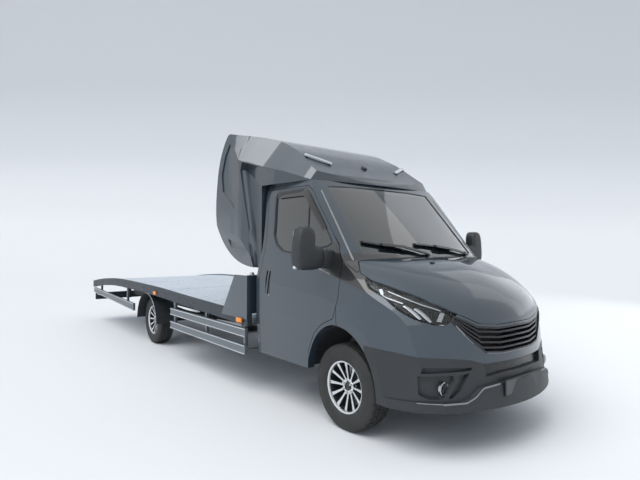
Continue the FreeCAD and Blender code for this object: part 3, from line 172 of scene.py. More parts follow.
sky_shades = ((0.0, (0.10, 0.12, 0.14, 1)), (0.12, (0.17, 0.20, 0.24, 1)),
              (0.45, (0.45, 0.57, 0.74, 1)), (1.0, (1.0, 1.0, 1.0, 1)))
sky.color_ramp.elements.new(0.12)
sky.color_ramp.elements.new(0.45)
for stop, (place, shade) in zip(sky.color_ramp.elements, sky_shades):
    stop.position, stop.color = place, shade
white = surround.nodes.new("ShaderNodeBackground")
white.inputs["Color"].default_value = (0.86, 0.87, 0.88, 1)
path = surround.nodes.new("ShaderNodeLightPath")
mirrored = surround.nodes.new("ShaderNodeMath")
seen = surround.nodes.new("ShaderNodeMath")
mirrored.operation = seen.operation = "MAXIMUM"
mixed = surround.nodes.new("ShaderNodeMixShader")
for start, end in ((heading.outputs["Generated"], height.inputs[0]),
                   (height.outputs["Z"], sky.inputs[0]), (sky.outputs[0], backdrop.inputs["Color"]),
                   (path.outputs["Is Glossy Ray"], mirrored.inputs[0]),
                   (path.outputs["Is Transmission Ray"], mirrored.inputs[1]),
                   (path.outputs["Is Camera Ray"], seen.inputs[0]),
                   (mirrored.outputs[0], seen.inputs[1]), (seen.outputs[0], mixed.inputs[0]),
                   (backdrop.outputs[0], mixed.inputs[1]), (white.outputs[0], mixed.inputs[2]),
                   (mixed.outputs[0], surround.nodes["World Output"].inputs[0])):
    surround.links.new(start, end)
bpy.ops.object.light_add(type="SUN",
                         rotation=(math.radians(28), math.radians(-14), math.radians(20)))
daylight = bpy.context.object
daylight.name = "overhead_light"
daylight.data.energy = 1.9
daylight.data.angle = math.radians(50)
for name, place, aim, width, power in (
        ("key_softbox", (7.5, -6.5, 5.5), (1.8, 0, 1.0), 8.0, 150),
        ("far_softbox", (4.0, 8.0, 5.0), (1.0, 0, 1.0), 8.0, 120)):
    bpy.ops.object.light_add(type="AREA", location=place)
    lamp = bpy.context.object
    lamp.name = name
    lamp.data.size = width
    lamp.data.energy = power
    lamp.rotation_euler = (Vector(aim) - Vector(place)).to_track_quat("-Z", "Y").to_euler()

# Body paint: a dark blue-grey clear-over-base lacquer on the pressed steel cab, the
# moulded pod and the headboard. Beside the screen's foot it gives way to a black film.
def within(finish, sides, corners):
    """1 inside a convex outline seen along one axis (corners turn to the left), else 0."""
    flat = [finish.node("ShaderNodeSeparateXYZ", {}, finish.place(), out=name) for name in sides]
    inside = None
    for (x0, z0), (x1, z1) in zip(corners, corners[1:] + corners[:1]):
        side_of = flat[0] * (z0 - z1) + flat[1] * (x1 - x0) > x0 * (z0 - z1) + z0 * (x1 - x0)
        inside = side_of if inside is None else inside * side_of
    return inside


paint_shades = ((0.021, 0.035, 0.050, 1), (0.028, 0.045, 0.063, 1), (0.048, 0.068, 0.090, 1))
film_black = (0.010, 0.011, 0.012, 1)


def lacquer(name, film=None):
    """The body paint, with a black film inside one outline seen from the side."""
    made = Finish(name, paint_shades[0][:3], Metallic=0.35)
    made.shader.inputs["Coat Weight"].default_value = 1.0
    made.shader.inputs["Coat Roughness"].default_value = 0.03
    shade = made.blend(made.noise(1.3), paint_shades[0], paint_shades[1])
    shade = made.blend(made.noise(900.0, 2.0) * 0.4, shade, paint_shades[2])
    dust = made.noise(5.0, 5.0)
    if film:
        black = within(made, "XZ", film)
        shade = made.blend(black, shade, film_black)
        made.wear("Metallic", (1 - black) * 0.35)
    made.wear("Base Color", shade)
    made.wear("Roughness", dust * 0.16 + 0.30)
    made.grain(0.025, 0.001, 260.0, 1.0)
    return made


body_paint = lacquer("body_paint")
body_paint.on("bonnet", "sleeper_pod", "headboard")
door_paint = lacquer("door_paint",
                     [(2.84, 1.31), (3.03, 1.262), (3.18, 1.225), (3.18, 1.42), (3.02, 1.56),
                      (2.90, 1.497), (2.84, 1.487)])
door_paint.on("door_right", "door_left")
wing_paint = lacquer("wing_paint",
                     [(3.10, 1.243), (3.31, 1.192), (3.53, 1.138), (3.48, 1.245), (3.25, 1.40),
                      (3.10, 1.41)])
wing_paint.on("front_wings")
cab_paint = lacquer("cab_paint",
                    [(3.08, 1.20), (3.40, 1.20), (3.40, 1.44), (3.16, 1.44), (3.08, 1.41)])
cab_paint.on("cab_shell")

# Rail paint: a satin dark grey-blue powder coat on the platform's steel side rails
# and on the lamp board at the tail.
rail_paint = Finish("rail_paint", (0.016, 0.024, 0.033), Roughness=0.45)
rail_paint.mottle((0.013, 0.021, 0.030), (0.022, 0.032, 0.043), 3.0, 4.0)
rail_paint.gloss(0.34, 0.25, 30.0)
rail_paint.grain(0.05, 0.001, 160.0)
rail_paint.on("side_rails", "rear_underrun")

# Chassis parts: black wax-coated steel, cast grey iron at the knuckles and the
# engine block, and galvanised cross bearers under the deck.
frame_paint = Finish("frame_paint", (0.018, 0.019, 0.021), Roughness=0.55)
frame_paint.mottle((0.014, 0.015, 0.016), (0.035, 0.033, 0.030), 14.0)
frame_paint.gloss(0.4, 0.3, 35.0)
frame_paint.grain(0.12, 0.001, 120.0)
frame_paint.on("chassis_frame", "front_axle_beam", "rear_axle", "rear_springs", "prop_shaft")
cast_metal = Finish("cast_metal", (0.10, 0.10, 0.105), Metallic=0.8)
cast_metal.mottle((0.07, 0.07, 0.072), (0.15, 0.14, 0.13), 9.0, 4.0)
cast_metal.gloss(0.45, 0.3, 50.0)
cast_metal.grain(0.25, 0.001, 180.0)
cast_metal.on("engine_block", "knuckle_right", "knuckle_left")
zinc_steel = Finish("zinc_steel", (0.42, 0.44, 0.46), Metallic=0.9)
spangle = zinc_steel.node("ShaderNodeTexVoronoi", {}, Vector=zinc_steel.place(), Scale=60.0)
zinc_steel.wear("Base Color",
                zinc_steel.blend(spangle, (0.36, 0.38, 0.40, 1), (0.50, 0.52, 0.54, 1)))
zinc_steel.gloss(0.3, 0.3, 25.0)
zinc_steel.on("platform_bearers")

# Black mouldings: grained polypropylene, matt on the bumper and liners, with a
# fine leather-like grain that breaks up the light.
black_plastic = Finish("black_plastic", (0.020, 0.022, 0.025))
black_plastic.mottle((0.016, 0.018, 0.021), (0.030, 0.033, 0.037), 4.0, 5.0)
black_plastic.gloss(0.42, 0.15, 60.0)
black_plastic.grain(0.15, 0.0004, 700.0, 1.0)
black_plastic.on("front_bumper", "wheel_liners", "dashboard", "steering_wheel", "fuel_tank")
grille_black = Finish("grille_black", (0.012, 0.013, 0.015))
grille_black.mottle((0.010, 0.011, 0.013), (0.022, 0.024, 0.027), 6.0)
grille_black.gloss(0.22, 0.1, 40.0)
grille_black.on("grille", "wipers")

# Glazing: dark tinted laminated screen and door glass, with the black printed band
# round the screen's edge and a faint film of dust.
def tinted(name, *clear):
    """Tinted glass, printed black outside the convex outlines that stay clear."""
    made = Finish(name, (0.010, 0.015, 0.019), Roughness=0.02)
    made.shader.inputs["Coat Weight"].default_value = 1.0
    made.shader.inputs["Coat Roughness"].default_value = 0.01
    made.shader.inputs["Specular IOR Level"].default_value = 0.8
    streak = made.noise(2.2, 4.0)
    made.wear("Roughness", streak * 0.05 + 0.02)
    solid = 0.90 + streak * 0.05
    if clear:
        seen = within(made, *clear)
        solid = solid * seen + (1 - seen)
    made.wear("Alpha", solid)
    return made


screen_glass = tinted("screen_glass", "YZ",
                      [(-0.725, 1.475), (0.725, 1.475), (0.672, 2.012), (-0.672, 2.012)])
screen_glass.on("windscreen")
door_tint = tinted("door_tint")
door_tint.on("door_glass_right", "door_glass_left")

# Lamps: clear, amber and red moulded lenses.
lamp_clear = Finish("lamp_clear", (0.30, 0.32, 0.35), Roughness=0.08)
lamp_clear.on("headlamps")
lamp_amber = Finish("lamp_amber", (0.90, 0.28, 0.02))
lamp_amber.gloss(0.1, 0.1, 30.0)
lamp_amber.bump(lamp_amber.waves("X", 60.0), 0.4, 0.001)
lamp_amber.on("marker_lamps")
lamp_red = Finish("lamp_red", (0.45, 0.015, 0.015))
lamp_red.gloss(0.1, 0.1, 30.0)
lamp_red.bump(lamp_red.waves("Y", 60.0), 0.4, 0.001)
lamp_red.on("tail_lamps")

# Deck: pale aluminium tread plate on the platform, and the brushed aluminium
# guards along its sides.
deck_metal = Finish("deck_metal", (0.60, 0.66, 0.72), Roughness=0.42, Metallic=0.55)
deck_metal.mottle((0.50, 0.57, 0.64), (0.68, 0.74, 0.80), 1.1, 5.0)
deck_metal.gloss(0.28, 0.3, 14.0, 4.0)
deck_metal.on("platform_deck")
guard_metal = Finish("guard_metal", (0.17, 0.19, 0.21), Metallic=0.6)
brushed = guard_metal.node("ShaderNodeMapping", {}, guard_metal.place(), Scale=(1.0, 60.0, 160.0))
guard_metal.gloss(0.25, 0.25, 6.0, 3.0, brushed)
guard_metal.mottle((0.14, 0.16, 0.18), (0.20, 0.22, 0.24), 1.5)
guard_metal.on("side_guards")

# Outside mirrors: a tall moulded head of grained black plastic on a wide folding arm
# that is bolted to the corner of each door, with the silvered plate in its rear face.
def alone(piece):
    """Select one piece and nothing else."""
    bpy.ops.object.select_all(action="DESELECT")
    piece.select_set(True)
    bpy.context.view_layer.objects.active = piece


def fix_place():
    """Apply the active piece's place, turn and scale to its mesh."""
    bpy.ops.object.transform_apply(location=True, rotation=True, scale=True)


def open_mesh():
    """Edit the active piece's mesh with all of it selected."""
    bpy.ops.object.mode_set(mode="EDIT")
    bpy.ops.mesh.select_all(action="SELECT")


def close_mesh():
    """Leave the mesh."""
    bpy.ops.object.mode_set(mode="OBJECT")


def primitive(name, kind, **settings):
    """A new named primitive to model on, with nothing else selected."""
    bpy.ops.object.select_all(action="DESELECT")
    getattr(bpy.ops.mesh, "primitive_%s_add" % kind)(**settings)
    made = bpy.context.object
    made.name = made.data.name = name
    return made


def block(name, place, sizes):
    """A cube of three sizes round one place, its scale applied."""
    made = primitive(name, "cube", size=1, location=place, scale=sizes)
    fix_place()
    return made


def weld(reach):
    """Merge the selected corners that meet, and turn the faces outward."""
    bpy.ops.mesh.remove_doubles(threshold=reach)
    bpy.ops.mesh.normals_make_consistent(inside=False)


def seat(piece, body, finish, angle=35):
    """Place a finished piece: apply its place, smooth it, give it finish and body."""
    alone(piece)
    fix_place()
    if angle:
        bpy.ops.object.shade_smooth_by_angle(angle=math.radians(angle))
    if finish:
        piece.data.materials.clear()
        piece.data.materials.append(finish.material)
    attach(piece, body)
    return piece


def apply(piece, kind, **settings):
    """Add one modifier and apply it at once."""
    alone(piece)
    made = piece.modifiers.new(kind.lower(), kind)
    for key, value in settings.items():
        setattr(made, key, value)
    bpy.ops.object.modifier_apply(modifier=made.name)


def bevel(piece, width, segments=2, over=30):
    """Round a piece's edges that are sharper than an angle in degrees."""
    apply(piece, "BEVEL", width=width, segments=segments, limit_method="ANGLE",
          angle_limit=math.radians(over))


def twin_of(piece, name):
    """A copy of a piece with a mesh of its own."""
    twin = piece.copy()
    twin.data = piece.data.copy()
    twin.name = twin.data.name = name
    bpy.context.collection.objects.link(twin)
    return twin


def copy_across(piece, name, body):
    """The same piece on the other side of the truck."""
    twin = twin_of(piece, name)
    alone(twin)
    twin.scale.y = -1
    bpy.ops.object.transform_apply(location=False, rotation=False, scale=True)
    open_mesh()
    bpy.ops.mesh.flip_normals()
    close_mesh()
    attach(twin, body)
    return twin


def mirror_left(piece, body="chassis"):
    """Copy a right-hand piece to the left side."""
    return copy_across(piece, piece.name.replace("_right", "_left"), body)


def seat_pair(piece, finish, angle=40):
    """Seat a right-hand piece on the chassis and copy it to the left side."""
    seat(piece, "chassis", finish, angle)
    mirror_left(piece)
    return piece


mirror_outline = ((1.10, 1.50), (1.094, 1.57), (1.104, 1.622), (1.135, 1.649), (1.185, 1.653),
                  (1.232, 1.638), (1.260, 1.592), (1.274, 1.50), (1.281, 1.40), (1.272, 1.335),
                  (1.238, 1.302), (1.15, 1.298), (1.06, 1.305), (1.01, 1.325), (0.99, 1.40),
                  (1.01, 1.475), (1.06, 1.492))
mirror = primitive("mirror_shell_left", "circle", vertices=len(mirror_outline), radius=0.1,
                   fill_type="NGON")
for vertex, (y, z) in zip(mirror.data.vertices, mirror_outline):
    vertex.co = (2.914, y, z)
open_mesh()
bpy.ops.mesh.extrude_region_move(TRANSFORM_OT_translate={"value": (0.05, 0, 0)})
bpy.ops.mesh.extrude_region_move(TRANSFORM_OT_translate={"value": (0.035, 0, 0)})
bpy.ops.mesh.inset(thickness=0.014)
bpy.ops.transform.translate(value=(0.014, 0, 0))
bpy.ops.mesh.inset(thickness=0.03)
bpy.ops.transform.translate(value=(0.006, 0, 0))
bpy.ops.mesh.select_all(action="SELECT")
bpy.ops.mesh.normals_make_consistent(inside=False)
close_mesh()
bevel(mirror, 0.006, over=40)
apply(mirror, "SUBSURF", levels=1, render_levels=1)
seat(mirror, "door_left", black_plastic, 50)
copy_across(mirror, "mirror_shell_right", "door_right")

arm = block("mirror_arm_left", (2.967, 0.965, 1.385), (0.085, 0.19, 0.145))
open_mesh()
bpy.ops.mesh.bisect(plane_co=(2.967, 0.95, 1.4), plane_no=(0, 1, 0))
bpy.ops.mesh.select_all(action="DESELECT")
close_mesh()
for vertex in arm.data.vertices:
    if vertex.co.y < 0.90:
        vertex.co.z = 1.385 + (vertex.co.z - 1.385) * 1.15
        vertex.co.x = 2.967 + (vertex.co.x - 2.967) * 1.3
bevel(arm, 0.012, 3)
seat(arm, "door_left", black_plastic)
copy_across(arm, "mirror_arm_right", "door_right")

mirror_silver = Finish("mirror_silver", (0.78, 0.80, 0.82), Metallic=1.0, Roughness=0.03)
mirror_silver.gloss(0.02, 0.03, 3.0)
silver = primitive("mirror_glass_left", "plane", size=1, location=(2.9135, 1.188, 1.53),
                   rotation=(0, -math.pi / 2, 0))
bpy.ops.transform.resize(value=(1, 0.135, 0.20))
fix_place()
open_mesh()
bpy.ops.mesh.bevel(offset=0.03, segments=4, affect="VERTICES")
bpy.ops.mesh.inset(thickness=0.003)
close_mesh()
apply(silver, "SOLIDIFY", thickness=0.003, offset=0)
seat(silver, "door_left", mirror_silver)
copy_across(silver, "mirror_glass_right", "door_right")
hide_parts("mirror_left")
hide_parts("mirror_right")

# Tyres: radial van tyres of black rubber, moulded with four grooves round the tread,
# cut shoulder blocks and a raised line round each sidewall.
# Its half section runs from the bead to the middle: (distance from the middle, radius).
half_section = ((0.081, 0.203), (0.098, 0.212), (0.104, 0.222), (0.107, 0.226), (0.112, 0.262),
                (0.1115, 0.292), (0.109, 0.300), (0.1085, 0.304), (0.104, 0.320), (0.098, 0.334),
                (0.090, 0.3435), (0.068, 0.3475), (0.066, 0.341), (0.058, 0.341), (0.056, 0.3485),
                (0.026, 0.3495), (0.024, 0.342), (0.016, 0.342), (0.014, 0.350))
tyre_section = [(-across, radius) for across, radius in half_section] + list(reversed(half_section))
same_place = 0.00005
wheel_radius = 0.35
front_axle, rear_axle = 3.14, -1.21
tread_steps = 96


def spun(name, section, steps):
    """A closed cross-section of (distance from the middle, radius), spun about Y."""
    made = primitive(name, "circle", vertices=len(section), radius=0.1)
    for vertex, (across, radius) in zip(made.data.vertices, section):
        vertex.co = (0, across, radius)
    open_mesh()
    bpy.ops.mesh.spin(steps=steps, angle=2 * math.pi, center=(0, 0, 0), axis=(0, 1, 0))
    bpy.ops.mesh.select_all(action="SELECT")
    weld(same_place)
    close_mesh()
    return made


def merged(pieces, name):
    """Several objects made into one."""
    bpy.ops.object.select_all(action="DESELECT")
    for piece in pieces:
        piece.select_set(True)
    bpy.context.view_layer.objects.active = pieces[0]
    bpy.ops.object.join()
    pieces[0].name = pieces[0].data.name = name
    return pieces[0]


wheel_places = {"front_left": (front_axle, 0.8125), "front_right": (front_axle, -0.8125),
                "rear_left": (rear_axle, 0.82), "rear_right": (rear_axle, -0.82)}


def ring_of(piece, count, name):
    """A piece repeated at even turns round the wheel's axis, as one."""
    copies = [twin_of(piece, name + "_copy") for i in range(1, count)]
    for i, copy in enumerate(copies, 1):
        copy.data.transform(Matrix.Rotation(2 * math.pi * i / count, 4, "Y"))
    return merged([piece] + copies, name)


def on_wheels(model, kind, finish, angle, stands_for=""):
    """A copy of one outward-facing wheel piece on each of the four wheels."""
    for place, (x, y) in wheel_places.items():
        piece = twin_of(model, kind + "_" + place)
        if stands_for:
            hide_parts(stands_for + "_" + place)
        if y < 0:
            piece.data.transform(Matrix.Rotation(math.pi, 4, "Z"))
        piece.data.transform(Matrix.Translation((x, y, wheel_radius)))
        alone(piece)
        bpy.ops.object.shade_smooth_by_angle(angle=math.radians(angle))
        if finish:
            piece.data.materials.clear()
            piece.data.materials.append(finish.material)
        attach(piece, "wheel_" + place)
    bpy.data.objects.remove(model)


tyre = spun("tyre_model", tyre_section, tread_steps)
for face in tyre.data.polygons:
    across, radius = face.center.y, math.hypot(face.center.x, face.center.z)
    turn = int((math.atan2(face.center.x, face.center.z) / (2 * math.pi) + 1) * tread_steps) % 3
    shoulder = 0.068 < abs(across) < 0.099 and radius > 0.335
    rib = 0.027 < abs(across) < 0.056 and radius > 0.347
    face.select = (shoulder and turn == 0) or (rib and turn == (1 if across > 0 else 2))
for part in (*tyre.data.edges, *tyre.data.vertices):
    part.select = False
alone(tyre)
bpy.ops.object.mode_set(mode="EDIT")
bpy.ops.mesh.select_mode(type="FACE")
bpy.ops.mesh.inset(thickness=0.0035, use_individual=True)
bpy.ops.mesh.extrude_region_shrink_fatten(TRANSFORM_OT_shrink_fatten={"value": -0.006})
close_mesh()
tyre_rubber = Finish("tyre_rubber", (0.018, 0.018, 0.019), Roughness=0.75)
dust = tyre_rubber.noise(6.0, 4.0)
tyre_rubber.wear("Base Color",
                 tyre_rubber.blend(dust, (0.014, 0.014, 0.015, 1), (0.036, 0.035, 0.034, 1)))
tyre_rubber.gloss(0.58, 0.25, 18.0)
tyre_rubber.grain(0.2, 0.0006, 340.0, 2.0)
on_wheels(tyre, "road_tyre", tyre_rubber, 30, "tyre")

# Rims: cast alloy with twelve machined blades round the hub, dark-painted pockets
# between them, a machined outer lip, six nuts and a plain black cap.
rim_metal = Finish("rim_metal", (0.70, 0.72, 0.74), Roughness=0.22, Metallic=0.95)
rings = rim_metal.node("ShaderNodeTexWave", {"wave_type": "RINGS", "rings_direction": "Y"},
                       Vector=rim_metal.place(), Scale=60.0, Distortion=0.5)
rim_metal.wear("Roughness", rings * 0.12 + rim_metal.noise(40.0) * 0.1 + 0.16)
rim_pocket = Finish("rim_pocket", (0.03, 0.031, 0.033), Roughness=0.4, Metallic=0.3)
rim_pocket.mottle((0.02, 0.021, 0.023), (0.05, 0.05, 0.052), 30.0)
barrel = spun("rim_barrel",
              ((-0.093, 0.2025), (-0.094, 0.2125), (-0.090, 0.2135), (-0.082, 0.2025),
               (0.081, 0.2025), (0.089, 0.2135), (0.0945, 0.2125), (0.0945, 0.206), (0.089, 0.197),
               (0.078, 0.193), (0.030, 0.191), (-0.086, 0.194)), 72)
barrel.data.materials.append(rim_metal.material)
barrel.data.materials.append(rim_pocket.material)
for face in barrel.data.polygons:
    face.material_index = 0 if face.center.y > 0.06 else 1
blade = block("rim_blade", (0, 0.042, 0.125), (0.017, 0.022, 0.145))
open_mesh()
bpy.ops.mesh.subdivide(number_cuts=2)
close_mesh()
for vertex in blade.data.vertices:
    along = (vertex.co.z - 0.0525) / 0.145
    vertex.co.x *= 0.75 + 0.75 * along
    vertex.co.y += 0.030 * along ** 1.6 - (0.012 * abs(along - 0.5))
    if vertex.co.y < 0.05 + 0.03 * along ** 1.6:
        vertex.co.x *= 1.25
bevel(blade, 0.0022)
blade.data.materials.append(rim_metal.material)
blade.data.materials.append(rim_pocket.material)
for face in blade.data.polygons:
    face.material_index = 0 if face.normal.y > 0.6 else 1
blades = ring_of(blade, 12, "rim_blades")
hub = spun("rim_hub", ((0.016, 0.034), (0.016, 0.064), (0.040, 0.066), (0.050, 0.062),
                       (0.053, 0.056), (0.053, 0.040), (0.049, 0.034)), 48)
hub.data.materials.append(rim_metal.material)
rim = merged([barrel, blades, hub], "rim_model")
on_wheels(rim, "alloy_rim", None, 35, "rim")

nut = primitive("wheel_nut", "cylinder", vertices=6, radius=0.0105, depth=0.02,
                location=(0, 0.060, 0.050), rotation=(math.pi / 2, 0, 0))
fix_place()
bevel(nut, 0.0022)
nuts = ring_of(nut, 6, "wheel_nuts")
bright_steel = Finish("bright_steel", (0.62, 0.63, 0.64), Metallic=1.0, Roughness=0.25)
bright_steel.gloss(0.18, 0.2, 50.0)
on_wheels(nuts, "wheel_nuts", bright_steel, 30)
cap = spun("hub_cap", ((0.03, 0.001), (0.03, 0.0335), (0.052, 0.0335), (0.060, 0.031),
                       (0.064, 0.026), (0.0645, 0.024), (0.0635, 0.022), (0.0638, 0.001)), 40)
cap_black = Finish("cap_black", (0.014, 0.014, 0.015), Roughness=0.3)
cap_black.gloss(0.22, 0.15, 70.0)
on_wheels(cap, "hub_cap", cap_black, 30)

# Headlamps: a black housing sunk behind the skin, with a hooked light guide, three
# angled reflectors and a bright lower rim, under a clear polycarbonate cover.
def on_skin(node, point, off=0.0):
    """The nearest point of a piece's skin, set off along its normal."""
    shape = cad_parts[node] if isinstance(node, str) else node
    _, place, normal, _ = shape.closest_point_on_mesh(Vector(point))
    return place + normal * off


def spaced(points, count):
    """Points at even distances along a line of corners."""
    corners = [Vector(p) for p in points]
    lengths = [(b - a).length for a, b in zip(corners, corners[1:])]
    found = []
    for i in range(count):
        left = sum(lengths) * i / (count - 1)
        for a, b, length in zip(corners, corners[1:], lengths):
            if left <= length + 1e-9:
                break
            left -= length
        found.append(a.lerp(b, min(left / length, 1.0)) if length else a)
    return found


def sheet(name, along, across, spot):
    """A grid of faces whose corner i along and j across lies at spot(i, j)."""
    made = primitive(name, "grid", x_subdivisions=along, y_subdivisions=across, size=2)
    for vertex in made.data.vertices:
        vertex.co = spot(round((vertex.co.x + 1) / 2 * along),
                         round((vertex.co.y + 1) / 2 * across))
    return made


def draped(name, node, upper, lower, off, thick, along=14, across=2, edge=0.0012):
    """A thin moulding laid on a piece's skin between two lines of points."""
    tops, feet = spaced(upper, along + 1), spaced(lower, along + 1)
    made = sheet(name, along, across,
                 lambda i, j: on_skin(node, feet[i].lerp(tops[i], j / across), off))
    middle = made.data.polygons[len(made.data.polygons) // 2]
    if middle.normal.dot(on_skin(node, middle.center, 1.0) - on_skin(node, middle.center)) < 0:
        open_mesh()
        bpy.ops.mesh.flip_normals()
        close_mesh()
    apply(made, "SOLIDIFY", thickness=thick, offset=1)
    if edge:
        bevel(made, edge, over=50)
    return made


def taken(node, name):
    """A merged copy of a CAD piece's mesh, to model on."""
    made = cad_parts[node].copy()
    made.data = made.data.copy()
    made.parent = None
    made.name = made.data.name = name
    bpy.context.collection.objects.link(made)
    alone(made)
    open_mesh()
    weld(same_place)
    bpy.ops.mesh.select_all(action="DESELECT")
    close_mesh()
    return made


def mark(piece, chosen):
    """Select the faces that pass a test of their centre and normal, and nothing else."""
    for part in (*piece.data.vertices, *piece.data.edges):
        part.select = False
    for face in piece.data.polygons:
        face.select = chosen(face.center, face.normal)
    alone(piece)
    bpy.ops.object.mode_set(mode="EDIT")
    bpy.ops.mesh.select_mode(type="FACE")


housing = taken("headlamps", "lamp_housing_right")
mark(housing, lambda centre, normal: centre.y > 0 or centre.z < 0.75)
bpy.ops.mesh.delete(type="FACE")
close_mesh()
outward = Vector((0.60, -0.62, 0.50))
front_middle = on_skin(housing, (3.87, -0.84, 1.06))


def front_gap(face):
    """How far a face is from the middle of the lamp's front, or 1 m more if it looks away."""
    return (face.center - front_middle).length + (0 if face.normal.dot(outward) > 0.8 else 1)


seed = min(housing.data.polygons, key=front_gap).index


def select_flat(piece, number):
    """Select the faces that lie in one even stretch with a face, for editing."""
    mark(piece, lambda centre, normal: False)
    close_mesh()
    piece.data.polygons[number].select = True
    bpy.ops.object.mode_set(mode="EDIT")
    bpy.ops.mesh.faces_select_linked_flat(sharpness=math.radians(30))


def split_off(piece):
    """A copy of the selected faces as an object of its own."""
    bpy.ops.mesh.duplicate()
    bpy.ops.mesh.separate(type="SELECTED")
    close_mesh()
    return [made for made in bpy.context.selected_objects if made is not piece][0]


select_flat(housing, seed)
cover = split_off(housing)
cover.name = cover.data.name = "lamp_cover_right"
select_flat(housing, seed)
bpy.ops.mesh.inset(thickness=0.008)
bpy.ops.transform.translate(value=(-0.013, 0.013, -0.010))
lamp_floor = split_off(housing)
lamp_black = Finish("lamp_black", (0.010, 0.011, 0.013))
lamp_black.mottle((0.008, 0.009, 0.010), (0.020, 0.022, 0.025), 12.0)
lamp_black.gloss(0.2, 0.12, 90.0)
reflector = Finish("lamp_reflector", (0.42, 0.45, 0.48), Metallic=1.0)
flutes = reflector.waves("Z", 45.0)
reflector.gloss(0.16, 0.08, 30.0)
reflector.bump(flutes, 0.2, 0.001)
# The light guide is white, with a faint painted glow of patchy strength that makes it read bright.
guide_painted_glow = Finish("light_guide_painted_glow", (0.85, 0.88, 0.92), Emission_Strength=0.15)
guide_painted_glow.wear("Emission Color",
                 guide_painted_glow.blend(guide_painted_glow.noise(30.0), (0.72, 0.80, 0.90, 1),
                                   (0.92, 0.96, 1.0, 1)))
guide_painted_glow.gloss(0.15, 0.1, 80.0)
seat(housing, "chassis", lamp_black, 30)
lamp_parts = [housing]
for name, upper, lower, rise, thick, finish in (
        ("lamp_guide_tail_right", [(3.553, -0.90, 1.197), (3.585, -0.915, 1.163)],
         [(3.535, -0.915, 1.185), (3.568, -0.930, 1.150)], 0.002, 0.006, guide_painted_glow),
        ("lamp_guide_hook_right",
         [(3.585, -0.925, 1.166), (3.60, -0.93, 1.152), (3.66, -0.905, 1.135),
          (3.735, -0.865, 1.108)],
         [(3.577, -0.930, 1.159), (3.603, -0.935, 1.145), (3.66, -0.912, 1.128),
          (3.734, -0.872, 1.102)], 0.002, 0.006, guide_painted_glow),
        ("lamp_guide_top_right",
         [(3.60, -0.880, 1.190), (3.69, -0.845, 1.160), (3.82, -0.775, 1.110),
          (3.94, -0.670, 1.062)],
         [(3.60, -0.888, 1.181), (3.69, -0.853, 1.151), (3.82, -0.785, 1.100),
          (3.94, -0.682, 1.053)], 0.002, 0.005, reflector),
        ("lamp_bowl_rear_right",
         [(3.752, -0.866, 1.097), (3.796, -0.845, 1.070), (3.844, -0.828, 1.029),
          (3.878, -0.820, 0.995)],
         [(3.745, -0.882, 1.084), (3.790, -0.866, 1.050), (3.836, -0.850, 1.012),
          (3.868, -0.838, 0.988)], 0.001, 0.012, reflector),
        ("lamp_bowl_middle_right",
         [(3.822, -0.820, 1.078), (3.862, -0.795, 1.048), (3.905, -0.776, 1.008),
          (3.930, -0.768, 0.976)],
         [(3.812, -0.838, 1.066), (3.852, -0.816, 1.030), (3.894, -0.798, 0.992),
          (3.920, -0.786, 0.968)], 0.001, 0.012, reflector),
        ("lamp_bowl_front_right",
         [(3.942, -0.684, 1.046), (3.953, -0.672, 1.040), (3.962, -0.660, 1.034)],
         [(3.950, -0.742, 0.978), (3.960, -0.726, 0.975), (3.970, -0.710, 0.971)],
         0.001, 0.010, reflector),
        ("lamp_rim_low_right",
         [(3.900, -0.800, 0.972), (3.945, -0.752, 0.953), (3.990, -0.690, 0.940),
          (4.005, -0.652, 0.938)],
         [(3.898, -0.806, 0.964), (3.945, -0.758, 0.945), (3.992, -0.694, 0.931),
          (4.007, -0.656, 0.929)], 0.002, 0.005, reflector)):
    piece = draped(name, lamp_floor, upper, lower, rise, thick, edge=0.001)
    lamp_parts.append(seat(piece, "chassis", finish, 40))
bpy.data.objects.remove(lamp_floor)
lens_clear = Finish("lens_clear", (0.03, 0.032, 0.035), Roughness=0.02)
lens_clear.shader.inputs["Specular IOR Level"].default_value = 0.4


def see_through(finish, solid):
    """Let the view through a finish, all but a share of it."""
    clear = finish.tree.nodes.new("ShaderNodeBsdfTransparent")
    mixed = finish.tree.nodes.new("ShaderNodeMixShader")
    finish.put(mixed.inputs[0], solid)
    finish.tree.links.new(clear.outputs[0], mixed.inputs[1])
    finish.tree.links.new(finish.shader.outputs[0], mixed.inputs[2])
    finish.tree.links.new(mixed.outputs[0], finish.tree.nodes["Material Output"].inputs[0])


slanting = lens_clear.node("ShaderNodeLayerWeight", {}, 0.25, out="Fresnel")
see_through(lens_clear, slanting * 0.5 + 0.04)
apply(cover, "SOLIDIFY", thickness=0.003, offset=-1)
seat(cover, "chassis", lens_clear, 30)
lamp_parts.append(cover)
for piece in lamp_parts:
    mirror_left(piece)

# Fog lamps: a chromed bowl behind a round glass in a black collar, one on each side.
fog_face = on_skin("headlamps", (4.05, -0.76, 0.505))
fog_parts = []
for name, section, finish in (
        ("fog_bowl_right",
         ((0.002, 0.001), (0.002, 0.020), (0.010, 0.038), (0.016, 0.045), (0.012, 0.050),
          (-0.004, 0.050), (-0.004, 0.001)), reflector),
        ("fog_glass_right",
         ((0.013, 0.001), (0.012, 0.025), (0.009, 0.043), (0.007, 0.043), (0.010, 0.025),
          (0.011, 0.001)), lens_clear)):
    piece = spun(name, section, 40)
    piece.data.transform(Matrix.Translation(fog_face) @ Matrix.Rotation(-math.pi / 2, 4, "Z"))
    fog_parts.append(seat(piece, "chassis", finish, 40))
for piece in fog_parts:
    mirror_left(piece)
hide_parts("headlamps")

# Side windows: a rubber seal round each door's glass, a raised bead in the door's
# skin outside it, a division bar, and a smoked wind deflector clipped in the frame.
def hit(node, start, toward):
    """Where a line first meets a piece's skin, and the normal; both zero if it misses."""
    _, place, normal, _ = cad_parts[node].ray_cast(Vector(start), Vector(toward))
    return place, normal


